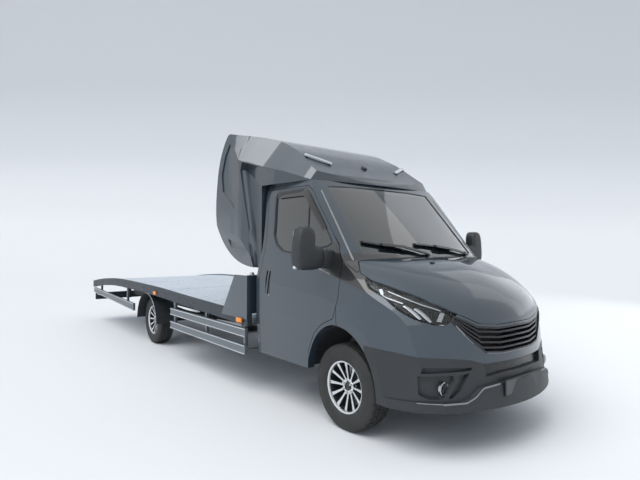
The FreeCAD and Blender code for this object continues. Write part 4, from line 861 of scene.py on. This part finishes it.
def side_skin(node, x, z, off=0.0):
    """The point of a right-hand piece's outer skin at one place in the side view."""
    place, normal = hit(node, (x, -1.5, z), (0, 1, 0))
    if not normal.length:
        raise ValueError("%s has no skin at %.3f, %.3f" % (node, x, z))
    return place + normal * off


def set_out(points, amount):
    """A closed outline in the side view, set out by an amount at each corner."""
    moved = []
    for before, here, after in zip(points[-1:] + points[:-1], points, points[1:] + points[:1]):
        a = Vector((here[0] - before[0], here[1] - before[1])).normalized()
        b = Vector((after[0] - here[0], after[1] - here[1])).normalized()
        out = Vector((a.y + b.y, -a.x - b.x)).normalized()
        moved.append((here[0] + out.x * amount, here[1] + out.y * amount))
    return moved


def moulding(name, node, upper, lower, off, thick, along=40, across=1, edge=0.001):
    """A moulding on the skin of a right-hand piece between two lines in the side view."""
    tops = spaced([(x, 0, z) for x, z in upper], along + 1)
    feet = spaced([(x, 0, z) for x, z in lower], along + 1)
    spots = [[feet[i].lerp(tops[i], j / across) for j in range(across + 1)]
             for i in range(along + 1)]
    made = sheet(name, along, across,
                 lambda i, j: side_skin(node, spots[i][j].x, spots[i][j].z, off))
    open_mesh()
    bpy.ops.mesh.remove_doubles(threshold=0.0002)
    if sum(face.normal.y * face.area for face in made.data.polygons) > 0:
        bpy.ops.mesh.flip_normals()
    close_mesh()
    if made.data.polygons[0].normal.y > 0:
        made.data.flip_normals()
    apply(made, "SOLIDIFY", thickness=thick, offset=1)
    if edge:
        bevel(made, edge, over=50)
    return made


seal_rubber = Finish("seal_rubber", (0.012, 0.012, 0.013))
seal_rubber.mottle((0.010, 0.010, 0.011), (0.024, 0.024, 0.025), 20.0)
seal_rubber.gloss(0.5, 0.2, 60.0)
smoked = Finish("smoked_plastic", (0.008, 0.009, 0.010), Roughness=0.08)
smoked.shader.inputs["Coat Weight"].default_value = 1.0
see_through(smoked, smoked.noise(3.0) * 0.06 + 0.82)
window_line = [(2.110, 1.600), (2.170, 1.510), (2.280, 1.455), (2.440, 1.435), (2.920, 1.500),
               (2.980, 1.525), (2.620, 1.965), (2.560, 2.000), (2.140, 2.000), (2.110, 1.970)]
on_paint = 0.0003
rings = [set_out(window_line, amount) for amount in (0.003, 0.016, 0.026, 0.038)]
closed = [ring + ring[:1] for ring in rings]
door_pieces = []
seal = moulding("window_seal_right", "door_right", closed[0], closed[1], on_paint, 0.003, along=80)
door_pieces.append(seat(seal, "door_right", seal_rubber, 40))
bead_inner, bead_outer = ([ring[i] for i in (7, 8, 9, 0, 1, 2, 3, 4)] for ring in rings[2:])
bead = moulding("window_bead_right", "door_right", bead_inner, bead_outer, on_paint, 0.0035,
                along=60, across=2, edge=0.002)
door_pieces.append(seat(bead, "door_right", body_paint, 40))
bar = moulding("window_bar_right", "door_glass_right", [(2.640, 1.93), (2.640, 1.50)],
               [(2.622, 1.93), (2.622, 1.50)], on_paint, 0.004, along=10)
door_pieces.append(seat(bar, "door_right", seal_rubber, 40))
belt = moulding("belt_strip_right", "door_right", [(2.862, 1.3135), (3.03, 1.2705)],
                [(2.860, 1.2985), (3.028, 1.2555)], on_paint, 0.005, along=10, across=2, edge=0.002)
belt_grey = Finish("belt_grey", (0.24, 0.25, 0.26), Metallic=0.4)
belt_grey.mottle((0.20, 0.21, 0.22), (0.30, 0.31, 0.32), 15.0)
belt_grey.gloss(0.3, 0.15, 50.0)
door_pieces.append(seat(belt, "door_right", belt_grey, 40))
shield_steps, shield_rows = 40, 3
inset_line = set_out(window_line, -0.05)
over_window = (9, 8, 7, 6)
outer_line = [rings[1][i] for i in over_window] + [(2.90, 1.65)]
inner_line = [inset_line[i] for i in over_window] + [(2.865, 1.63)]
outer, inner = (spaced([(x, 0, z) for x, z in corners], shield_steps + 1)
                for corners in (outer_line, inner_line))


def shield_spot(i, j):
    """One corner of the deflector, which stands off the door and bows outward."""
    spot = outer[i].lerp(inner[i], j / shield_rows)
    root = side_skin("door_right", outer[i].x, outer[i].z)
    bow = 0.012 * math.sin(j / shield_rows * math.pi / 2)
    return spot.x, root.y - 0.004 - bow - (root.z - spot.z) * 0.11, spot.z


shield = sheet("wind_deflector_right", shield_steps, shield_rows, shield_spot)
if shield.data.polygons[0].normal.y > 0:
    shield.data.flip_normals()
apply(shield, "SOLIDIFY", thickness=0.003, offset=1)
door_pieces.append(seat(shield, "door_right", smoked, 50))

# Door furniture: a round lock of grey metal let into the skin below each handle.
lock_place = side_skin("door_right", 2.135, 1.02)
lock = spun("door_lock_right",
            ((-0.002, 0.001), (0.004, 0.001), (0.004, 0.010), (0.0025, 0.0125), (-0.002, 0.0125)),
            32)
lock.data.transform(Matrix.Translation(lock_place) @ Matrix.Rotation(math.pi, 4, "Z"))
door_pieces.append(seat(lock, "door_right", belt_grey, 40))
for piece in door_pieces:
    mirror_left(piece, "door_left")

# Front trim: a grey strip under the grille, two moulded washer jets on the bonnet, and
# a blank plate in its black holder on the bumper.
lip = [(-0.60, 0.926), (-0.50, 0.812), (-0.385, 0.715), (-0.2, 0.700), (0, 0.704), (0.2, 0.700),
       (0.385, 0.715), (0.50, 0.812), (0.60, 0.926)]
strip_steps, strip_rows = 72, 2
line = spaced([(0, y, z) for y, z in lip], strip_steps + 1)


def strip_spot(i, j):
    """One corner of the strip on the grille's lower lip; (0, 0, 0) where the line misses."""
    spot = line[i] + Vector((0, 0, 0.012 * (j / strip_rows - 0.5)))
    place, normal = hit("grille", (5, spot.y, spot.z + 0.004), (-1, 0, 0))
    return place + normal * 0.0004


strip = sheet("grille_strip", strip_steps, strip_rows, strip_spot)
if strip.data.polygons[0].normal.x < 0:
    strip.data.flip_normals()
apply(strip, "SOLIDIFY", thickness=0.004, offset=1)
bevel(strip, 0.0012, over=50)
seat(strip, "chassis", belt_grey, 40)

plate_black = Finish("plate_black", (0.014, 0.014, 0.015))
plate_black.gloss(0.35, 0.15, 50.0)
plate_black.mottle((0.012, 0.012, 0.013), (0.022, 0.022, 0.024), 8.0)
plate_face = Finish("plate_face", (0.05, 0.052, 0.055))
plate_face.mottle((0.040, 0.042, 0.045), (0.065, 0.067, 0.070), 5.0, 5.0)
plate_face.gloss(0.3, 0.2, 20.0)


def panelled(name, place, sizes, facing, border, move, edge):
    """A block with a border round a raised or sunk field on its face toward +X or -X."""
    made = block(name, place, sizes)
    mark(made, lambda centre, normal: normal.x * facing > 0.9)
    bpy.ops.mesh.inset(thickness=border)
    bpy.ops.transform.translate(value=(move, 0, 0))
    close_mesh()
    bevel(made, edge)
    return made


plate_height = 0.467
front_x = max(hit("front_bumper", (5, y, 0.47), (-1, 0, 0))[0].x for y in (-0.2, 0.0, 0.2))
for name, wide, high, deep, x, finish in (
        ("plate_holder", 0.532, 0.122, 0.006, front_x - 0.012, plate_black),
        ("blank_plate", 0.516, 0.106, 0.003, front_x - 0.008, plate_face)):
    plate = panelled(name, (x, 0, plate_height), (deep, wide, high), 1, 0.006, -0.0012, 0.0012)
    seat(plate, "chassis", finish, 40)
for y in (-0.26, 0.26):
    place, normal = hit("bonnet", (3.515, y, 2), (0, 0, -1))
    jet = block("washer_jet_%s" % ("right" if y < 0 else "left"), place + Vector((0, 0, 0.003)),
                (0.030, 0.036, 0.012))
    mark(jet, lambda centre, normal: normal.z > 0.9)
    bpy.ops.mesh.extrude_region_move(TRANSFORM_OT_translate={"value": (-0.003, 0, 0.003)})
    bpy.ops.transform.resize(value=(0.5, 0.55, 1))
    close_mesh()
    bevel(jet, 0.002)
    seat(jet, "bonnet", black_plastic, 40)

# Sleeping pod: one moulded shell of glass fibre that sits on the cab's roof and hangs
# down behind it. Its roof falls to a bowed front edge between two slanting shoulders.
# Each row of the cutting form: place along, roof height, crease, lower edge, its height.
pod_rows = ((2.664, 2.106, 0.05, 0.10, 2.09), (2.655, 2.130, 0.30, 0.35, 2.10),
            (2.630, 2.162, 0.56, 0.62, 2.11), (2.608, 2.178, 0.68, 0.74, 2.11),
            (2.585, 2.192, 0.76, 0.83, 2.105), (2.50, 2.247, 0.755, 0.846, 2.131),
            (2.40, 2.318, 0.735, 0.861, 2.163), (2.30, 2.386, 0.722, 0.876, 2.194),
            (2.217, 2.437, 0.715, 0.889, 2.219), (2.08, 2.505, 0.705, 0.912, 2.251),
            (1.95, 2.564, 0.70, 0.932, 2.285), (1.83, 2.606, 0.744, 0.953, 2.321),
            (1.70, 2.645, 0.797, 0.975, 2.361), (1.56, 2.678, 0.869, 0.9995, 2.398),
            (1.46, 2.696, 0.924, 0.9995, 2.472), (1.38, 2.710, 0.966, 0.9995, 2.570),
            (1.34, 2.716, 0.985, 1.001, 2.65), (1.28, 2.73, 1.02, 1.02, 2.68),
            (0.90, 2.73, 1.02, 1.02, 2.68))


def between_rows(rows, steps):
    """More rows along a smooth curve through the given ones."""
    found = []
    for i in range(len(rows) - 1):
        a, b, c, d = (rows[min(max(i + k, 0), len(rows) - 1)] for k in (-1, 0, 1, 2))
        for step in range(steps):
            t = step / steps
            near = (c[0] - b[0]) / max(b[0] - a[0], -0.5) if i else 1.0
            far = (c[0] - b[0]) / (d[0] - c[0]) if i < len(rows) - 2 else 1.0
            mixed = []
            for p, q, r, s in zip(a, b, c, d):
                out = (q - p) * near if i else r - q
                into = (s - r) * far if i < len(rows) - 2 else r - q
                m0, m1 = (out + (r - q)) / 2, (into + (r - q)) / 2
                mixed.append((2 * t ** 3 - 3 * t ** 2 + 1) * q + (t ** 3 - 2 * t ** 2 + t) * m0
                             + (3 * t ** 2 - 2 * t ** 3) * r + (t ** 3 - t ** 2) * m1)
            found.append(mixed)
    return found + [list(rows[-1])]


nose_rows, back_rows = between_rows(pod_rows[:5], 3), between_rows(pod_rows[4:17], 4)
rows = nose_rows[:-1] + back_rows[:-1] + [list(row) for row in pod_rows[16:]]
rows = [[rows[0][0], 1.0, *rows[0][2:4], 1.0]] + rows + [[rows[-1][0], 1.0, *rows[-1][2:4], 1.0]]
form_columns = 9


def form_spot(i, j):
    """One corner of the cutting form, with upright sides below its lower edges."""
    along, roof, crease, edge, edge_z = rows[i]
    across = (-edge, -edge, -crease, -crease * 0.6, -crease * 0.2,
              crease * 0.2, crease * 0.6, crease, edge, edge)[j]
    height = (1.0, edge_z, roof, roof, roof, roof, roof, roof, edge_z, 1.0)[j]
    return along, across, height


def close_ends(reach):
    """Merge the active sheet's meeting edges and fill its open ends."""
    open_mesh()
    bpy.ops.mesh.remove_doubles(threshold=reach)
    bpy.ops.mesh.select_all(action="DESELECT")
    bpy.ops.mesh.select_mode(type="EDGE")
    bpy.ops.mesh.select_non_manifold()
    bpy.ops.mesh.edge_face_add()
    bpy.ops.mesh.select_all(action="SELECT")
    bpy.ops.mesh.normals_make_consistent(inside=False)
    close_mesh()


form = sheet("pod_form", len(rows) - 1, form_columns, form_spot)
close_ends(same_place)

pod = taken("sleeper_pod", "pod_shell")
open_mesh()
bpy.ops.mesh.separate(type="LOOSE")
close_mesh()
*inner_shells, pod = sorted(bpy.context.selected_objects, key=lambda part: part.dimensions.x)
for part in inner_shells:
    bpy.data.objects.remove(part)
pod.name = pod.data.name = "pod_shell"
alone(pod)
open_mesh()
bpy.ops.mesh.normals_make_consistent(inside=False)
close_mesh()
apply(pod, "BOOLEAN", operation="INTERSECT", object=form, solver="EXACT")
bpy.data.objects.remove(form)
seat(pod, "chassis", body_paint, 18)
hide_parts("sleeper_pod")
apply(pod, "WEIGHTED_NORMAL", keep_sharp=True, mode="FACE_AREA", weight=50)

# Platform floor: raised tread bars in groups of five, rolled into the aluminium plate,
# with bright cross joints where two plates meet over a bearer.
def top_of(node, x, y):
    """The height of a piece's upper face at one place in plan."""
    return hit(node, (x, y, 3), (0, 0, -1))[0].z


bar_pitch = 0.09
bar_rows, bar_columns = 60, 21
bars = []
for i in range(5):
    tread_bar = block("tread_bar", (0, (i - 2) * 0.0078, 0.0006), (0.034, 0.0042, 0.0016))
    mark(tread_bar, lambda centre, normal: normal.z > 0.9)
    bpy.ops.transform.resize(value=(0.75, 0.5, 1))
    close_mesh()
    bars.append(tread_bar)
along = merged(bars, "tread_bars_along")
crossing = twin_of(along, "tread_bars_across")
crossing.data.transform(Matrix.Translation((bar_pitch / 2, 0, 0))
                        @ Matrix.Rotation(math.pi / 2, 4, "Z"))
tread = merged([along, crossing], "deck_tread")
for count, step in ((bar_rows, (bar_pitch, 0, 0)), (bar_columns, (0, bar_pitch, 0))):
    apply(tread, "ARRAY", count=count, use_relative_offset=False, use_constant_offset=True,
          constant_offset_displace=step)
tread.data.transform(Matrix.Translation((-4.15, -bar_pitch * (bar_columns - 1) / 2, 0)))
slope_reach = 0.01
heights = {}
for vertex in tread.data.vertices:
    place = round(vertex.co.x, 2)
    if place not in heights:
        heights[place] = [top_of("platform_deck", place + reach, 0.3)
                          for reach in (-slope_reach, slope_reach)]
    low, high = heights[place]
    vertex.co.z += low + (high - low) * (vertex.co.x - place + slope_reach) / (2 * slope_reach)
tread_metal = Finish("tread_metal", (0.66, 0.72, 0.78), Roughness=0.3, Metallic=0.75)
tread_metal.mottle((0.58, 0.64, 0.70), (0.74, 0.79, 0.84), 2.0, 4.0)
tread_metal.gloss(0.22, 0.25, 25.0)
seat(tread, "chassis", tread_metal, 0)

joint_strips = []
for x in (-3.0, -1.75, -0.5, 0.75):
    strip = block("deck_joint", (x, 0, top_of("platform_deck", x, 0.3) + 0.0012),
                  (0.045, 1.96, 0.0022))
    bevel(strip, 0.0007)
    joint_strips.append(strip)
seat(merged(joint_strips, "deck_joints"), "chassis", tread_metal, 30)

# Platform sides: domed bolt heads through the steel rails, a wear strip in the rails' paint
# along the top of each rail and folded lips on the aluminium guards.
def rail_line(name, finish, points, section):
    """A long moulding: a cross-section of (across, up) swept along points at right."""
    made = sheet(name, len(points) - 1, len(section) - 1,
                 lambda i, j: Vector(points[i]) + Vector((0, section[j][0], section[j][1])))
    close_ends(0.0001)
    seat_pair(made, finish, 30)


lip_metal = Finish("lip_metal", (0.62, 0.65, 0.68), Metallic=0.9)
lip_metal.gloss(0.25, 0.2, 9.0)
lip_metal.mottle((0.54, 0.57, 0.60), (0.70, 0.73, 0.76), 2.5)
rail_middle = -1.024
rail_rear, wear_length, wear_steps = -4.19, 5.47, 60
wear_places = [rail_rear + wear_length * i / wear_steps for i in range(wear_steps + 1)]
wear_points = [(x, rail_middle, top_of("side_rails", x, rail_middle) + 0.0002) for x in wear_places]
rail_line("rail_wear_strip_right", rail_paint, wear_points,
          ((-0.020, 0.0), (-0.020, 0.0025), (-0.018, 0.004), (0.018, 0.004), (0.020, 0.0025),
           (0.020, 0.0), (-0.020, 0.0)))
bolt_dome = spun("rail_bolts_right",
                 ((-0.001, 0.0002), (0.0062, 0.0002), (0.0058, 0.0045), (0.0035, 0.0082),
                  (0.0012, 0.0095), (-0.001, 0.0095)), 16)
bolts = []
for x in [-3.95 + 0.45 * i for i in range(12)]:
    for drop in (0.045, 0.105):
        dome = twin_of(bolt_dome, "rail_bolt")
        place = Vector((x, -1.05, top_of("side_rails", x, rail_middle) - drop))
        dome.data.transform(Matrix.Translation(place) @ Matrix.Rotation(math.pi, 4, "Z"))
        bolts.append(dome)
bpy.data.objects.remove(bolt_dome)
bolts = seat(merged(bolts, "rail_bolts_right"), "chassis", rail_paint, 35)
mirror_left(bolts, "chassis")
guard_lip = ((0.0, 0.0), (-0.0055, 0.0), (-0.0070, 0.0015), (-0.0070, 0.0105), (-0.0055, 0.012),
             (0.0, 0.012), (0.0, 0.0))
guard_face = -1.0498
guard_rear, guard_front = -0.175, 1.79
for number, z in enumerate((0.388, 0.466, 0.564, 0.637)):
    rail_line("guard_lip_%d_right" % number, lip_metal,
              [(guard_rear + (guard_front - guard_rear) * i / 12, guard_face, z)
               for i in range(13)], guard_lip)
tail_rear, tail_length = -4.135, 2.41


def guard_edge(x, z):
    """The height of the side guard's skin nearest to one place in the side view."""
    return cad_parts["side_guards"].closest_point_on_mesh(Vector((x, -1.05, z)))[1].z


rear_low = [(x, guard_edge(x, 0.3)) for x in [tail_rear + tail_length * i / 24 for i in range(25)]]
rear_high = [(x, guard_edge(x, z + 0.13)) for x, z in rear_low]
for number, edge, rise in ((4, rear_low, 0.0005), (5, rear_high, -0.0125)):
    rail_line("guard_lip_%d_right" % number, lip_metal,
              [(x, guard_face, z + rise) for x, z in edge], guard_lip)

# Seats: black woven cloth over foam, the driver's seat by itself and a double bench,
# each with side bolsters sewn off by channels and a head restraint on two steel posts.
blow, blow_steps = 4.0, 20
channel_half, channel_depth = 0.012, 0.006


def cushion(name, low, high, cap, channels):
    """A foam cushion: a soft block that is blown up as cloth, then sewn down in channels."""
    made = block(name, [(a + b) / 2 for a, b in zip(low, high)], [b - a for a, b in zip(low, high)])
    bevel(made, 0.024, 3)
    apply(made, "REMESH", mode="VOXEL", voxel_size=0.011)
    rest = [vertex.co.copy() for vertex in made.data.vertices]
    filling = made.modifiers.new("filling", "CLOTH")
    filling.settings.use_pressure = True
    filling.settings.uniform_pressure_force = blow
    filling.settings.effector_weights.gravity = 0
    for step in range(1, blow_steps + 1):
        bpy.context.scene.frame_set(step)
    bpy.ops.object.modifier_apply(modifier=filling.name)
    bpy.context.scene.frame_set(1)
    for vertex, start in zip(made.data.vertices, rest):
        shift = vertex.co - start
        if shift.length > cap:
            vertex.co = start + shift * (cap / shift.length)
    apply(made, "SUBSURF", levels=1, render_levels=1)
    for vertex in made.data.vertices:
        for axis, place in channels:
            near = abs(vertex.co[axis] - place)
            if near < channel_half:
                sewn = (1 + math.cos(math.pi * near / channel_half)) / 2
                vertex.co -= vertex.normal * channel_depth * sewn
    seat(made, "chassis", seat_cloth, 60)
    return made


seat_cloth = Finish("seat_cloth", (0.03, 0.03, 0.033), Roughness=0.9)
seat_cloth.on("seats")
weave = seat_cloth.node("ShaderNodeTexWave", {"bands_direction": "Y"}, Vector=seat_cloth.place(),
                        Scale=140.0, Distortion=0.6)
seat_cloth.wear("Base Color",
                seat_cloth.blend(weave * seat_cloth.noise(90.0), (0.020, 0.021, 0.023, 1),
                                 (0.055, 0.057, 0.062, 1)))
seat_cloth.bump(weave, 0.3, 0.0006)
seat_places = (("driver", 0.20, 0.66), ("middle", -0.375, 0.045), ("passenger", -0.80, -0.385))
posts = []
for place, y0, y1 in seat_places:
    edge, middle = 0.095 if place == "driver" else 0.075, (y0 + y1) / 2
    base = cushion("seat_cushion_" + place, (2.150, y0 + 0.012, 0.992), (2.540, y1 - 0.012, 1.094),
                   0.022, ((1, y0 + edge), (1, y1 - edge), (0, 2.30)))
    cushion("seat_back_" + place, (2.028, y0 + 0.012, 1.085), (2.128, y1 - 0.012, 1.585), 0.022,
            ((1, y0 + edge), (1, y1 - edge), (2, 1.24), (2, 1.42)))
    cushion("head_rest_" + place, (2.035, middle - 0.12, 1.632), (2.112, middle + 0.12, 1.760),
            0.012, ())
    for y in (middle - 0.05, middle + 0.05):
        post = primitive("head_rest_post", "cylinder", vertices=16, radius=0.0058, depth=0.14,
                         location=(2.075, y, 1.60))
        fix_place()
        bevel(post, 0.001, 1)
        posts.append(post)
seat(merged(posts, "head_rest_posts"), "chassis", bright_steel, 40)
boxes = []
for y0, y1 in ((0.22, 0.64), (-0.78, 0.02)):
    box = block("seat_box", (2.272, (y0 + y1) / 2, 0.893), (0.40, y1 - y0, 0.184))
    for vertex in box.data.vertices:
        if vertex.co.z < 0.9:
            vertex.co.x = 2.272 + (vertex.co.x - 2.272) * 0.86
    bevel(box, 0.014, 3)
    boxes.append(box)
boxes = seat(merged(boxes, "seat_boxes"), "chassis", black_plastic, 40)
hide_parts("seats")

# Dashboard fittings: a blank centre display, a glove box lid, a switch panel and round
# air vents.
display_black = Finish("display_black", (0.006, 0.007, 0.009), Roughness=0.05)
display_black.gloss(0.03, 0.06, 8.0)


def dash_point(y, z):
    """The cab side of the dashboard at one place seen from the seats."""
    place, _ = hit("dashboard", (2.3, y, z), (1, 0, 0))
    return place if place.x else Vector((2.80, y, z))


for name, y, z, wide, high, finish in (
        ("centre_display", -0.02, 1.24, 0.22, 0.13, display_black),
        ("glove_box_lid", -0.52, 1.17, 0.42, 0.13, black_plastic),
        ("switch_panel", -0.02, 1.10, 0.20, 0.07, grille_black)):
    panel = panelled(name, dash_point(y, z) + Vector((-0.002, 0, 0)), (0.018, wide, high), -1,
                     0.006, 0.002, 0.0025)
    seat(panel, "chassis", finish, 40)
vents = []
for y in (0.74, 0.17, -0.21, -0.76):
    ring = spun("air_vent", ((-0.004, 0.001), (0.004, 0.001), (0.006, 0.012), (0.003, 0.030),
                             (0.010, 0.034), (0.010, 0.041), (-0.004, 0.044)), 32)
    ring.data.transform(Matrix.Translation(dash_point(y, 1.245))
                        @ Matrix.Rotation(math.radians(90), 4, "Z"))
    vents.append(ring)
seat(merged(vents, "air_vents"), "chassis", grille_black, 35)

# Pod fittings: a slim lamp bar on two feet at each side of the sloping front, and the
# low black base of an aerial between them.
bar_front = [(2.338, -0.715, 2.36), (2.457, -0.470, 2.28)]
bar_back = [(2.312, -0.700, 2.38), (2.431, -0.456, 2.30)]
lamp_bar = draped("pod_lamp_bar_right", pod, bar_back, bar_front, 0.006, 0.020, along=8, across=2,
                  edge=0.004)
bar_glass = Finish("bar_glass", (0.55, 0.58, 0.60), Roughness=0.1)
bar_glass.wear("Base Color",
               bar_glass.blend(bar_glass.waves("Y", 14.0), (0.40, 0.43, 0.46, 1),
                               (0.72, 0.75, 0.78, 1)))
bar_glass.gloss(0.1, 0.1, 30.0)
seat_pair(lamp_bar, bar_glass)
for number, share in enumerate((0.08, 0.92)):
    front, back = (Vector(edge[0]).lerp(Vector(edge[1]), share) for edge in (bar_front, bar_back))
    reach = (front - back) * 0.25
    step = (Vector(bar_front[1]) - Vector(bar_front[0])).normalized() * 0.012
    foot = draped("pod_lamp_foot_%d_right" % number, pod,
                  [back - reach - step, back - reach + step],
                  [front + reach - step, front + reach + step], -0.002, 0.012, along=2, across=2,
                  edge=0.002)
    seat_pair(foot, grille_black)
aerial = draped("pod_aerial_base", pod, [(2.405, -0.020, 2.32), (2.405, 0.020, 2.32)],
                [(2.450, -0.024, 2.29), (2.450, 0.024, 2.29)], -0.002, 0.022, along=4, across=3,
                edge=0.006)
seat(aerial, "chassis", grille_black, 50)

# Bumper lip: a grey strip along the upper edge of the lower lip, a painted highlight where
# that edge catches the light, and a lens for the lamp in the foot of each mirror.
lip_line = [(3.90, -0.93, 0.405), (4.05, -0.80, 0.405), (4.13, -0.61, 0.405), (4.15, -0.536, 0.435),
            (4.16, -0.458, 0.492), (4.18, -0.30, 0.505)]
# The grey strip is a painted highlight laid on the lip's upward edge.
lip_highlight = draped("bumper_trim_right", "front_bumper", [(x, y, z + 0.006) for x, y, z in lip_line],
              [(x, y, z - 0.006) for x, y, z in lip_line], on_paint, 0.0035, along=44, across=1)
seat_pair(lip_highlight, belt_grey)
repeater = primitive("mirror_lamp_left", "uv_sphere", segments=20, ring_count=12, radius=0.02,
                     location=(2.936, 1.250, 1.322))
bpy.ops.transform.resize(value=(1.0, 1.1, 0.8))
seat(repeater, "door_left", bar_glass, 50)
copy_across(repeater, "mirror_lamp_right", "door_right")

# Rear mudguards: a bright rolled edge along the front half of each guard's outer rim.
guard_side, rim_reach, rim_half = -1.0203, 0.4155, 0.0055


def rolled_spot(i, j):
    """One corner of the rolled edge, which follows the guard round the wheel."""
    turn, reach = math.radians(-4 + 96 * i / 40), rim_reach + rim_half * (2 * j - 1)
    return rear_axle + math.cos(turn) * reach, guard_side, wheel_radius + math.sin(turn) * reach


rolled = sheet("mudguard_edge_right", 40, 1, rolled_spot)
if rolled.data.polygons[0].normal.y > 0:
    rolled.data.flip_normals()
apply(rolled, "SOLIDIFY", thickness=0.005, offset=1)
bevel(rolled, 0.0018)
seat_pair(rolled, lip_metal)

# Headboard fittings: a folded bright capping along its upper edge and, at each side,
# two zinc-plated lashing brackets bolted on top.
board_top = max(vertex.co.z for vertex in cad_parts["headboard"].data.vertices)
cap_places = [vertex.co.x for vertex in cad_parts["headboard"].data.vertices
              if vertex.co.z > board_top - 0.002]
cap_low, cap_high = min(cap_places), max(cap_places)
capping = block("headboard_capping", ((cap_low + cap_high) / 2, 0, board_top + 0.0025),
                (cap_high - cap_low - 0.01, 2.10, 0.0042))
bevel(capping, 0.0012)
seat(capping, "chassis", lip_metal, 30)
for number, y in enumerate((-0.97, -0.70)):
    bracket = block("headboard_bracket_%d_right" % number, (cap_high - 0.05, y, board_top + 0.0175),
                    (0.05, 0.034, 0.026))
    mark(bracket, lambda centre, normal: normal.z > 0.9)
    bpy.ops.transform.resize(value=(0.6, 0.7, 1))
    bpy.ops.mesh.inset(thickness=0.005)
    bpy.ops.transform.translate(value=(0, 0, -0.008))
    close_mesh()
    bevel(bracket, 0.002)
    seat_pair(bracket, bright_steel, 35)

# Tail lamps: a black housing with three moulded lenses in front, amber at the outside,
# red in the middle and clear at the inside, clipped in its face.
reverse_clear = Finish("reverse_clear", (0.72, 0.74, 0.76))
reverse_clear.gloss(0.1, 0.1, 30.0)
reverse_clear.bump(reverse_clear.waves("Y", 60.0), 0.4, 0.001)
lamp_height = 0.465
for name, low, high, x, deep, tall, slot, finish in (
        ("tail_housing", -0.990, -0.670, -4.1695, 0.019, 0.100, "black_plastic", grille_black),
        ("tail_lens_amber", -0.984, -0.912, -4.1815, 0.011, 0.088, "lamp_amber", lamp_amber),
        ("tail_lens_red", -0.909, -0.753, -4.1815, 0.011, 0.088, "lamp_red", lamp_red),
        ("tail_lens_clear", -0.750, -0.676, -4.1815, 0.011, 0.088, "lamp_clear", reverse_clear)):
    lens = panelled(name + "_right", (x, (low + high) / 2, lamp_height), (deep, high - low, tall),
                    -1, 0.004, -0.0012, 0.002)
    seat_pair(lens, finish)
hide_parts("tail_lamps")

# Marker lamps: a black moulded base behind each amber lens.
for number, (x, y, z) in enumerate(((1.699, -1.0555, 0.7295), (-0.747, -1.0515, 0.8055))):
    base = block("marker_base_%d_right" % number, (x, y, z), (0.112, 0.006, 0.056))
    bevel(base, 0.0025)
    seat_pair(base, grille_black)

# Cab trim: a moulding up each screen pillar, its light grey a painted reflection of the
# bright pillar, and domed caps over the wiper spindles.
# The moulding is a strip on the pillar; its light grey is a painted reflection of the pillar's
# sheen.
pillar = draped("pillar_moulding_right", "cab_shell",
                [(2.700, -0.790, 1.995), (2.96, -0.822, 1.685), (3.200, -0.852, 1.392)],
                [(2.700, -0.806, 1.990), (2.96, -0.840, 1.680), (3.208, -0.872, 1.382)], on_paint,
                0.004, along=40)
seat_pair(pillar, belt_grey)
for number, (x, y, z) in enumerate(((3.312, -0.055, 1.424), (3.267, 0.561, 1.437))):
    wiper_cap = spun("wiper_cap_%d" % number,
                     ((-0.006, 0.001), (-0.006, 0.0145), (0.002, 0.0145), (0.006, 0.011),
                      (0.008, 0.001)), 24)
    wiper_cap.data.transform(Matrix.Translation((x, y, z)) @ Matrix.Rotation(math.pi / 2, 4, "X"))
    seat(wiper_cap, "chassis", grille_black, 40)
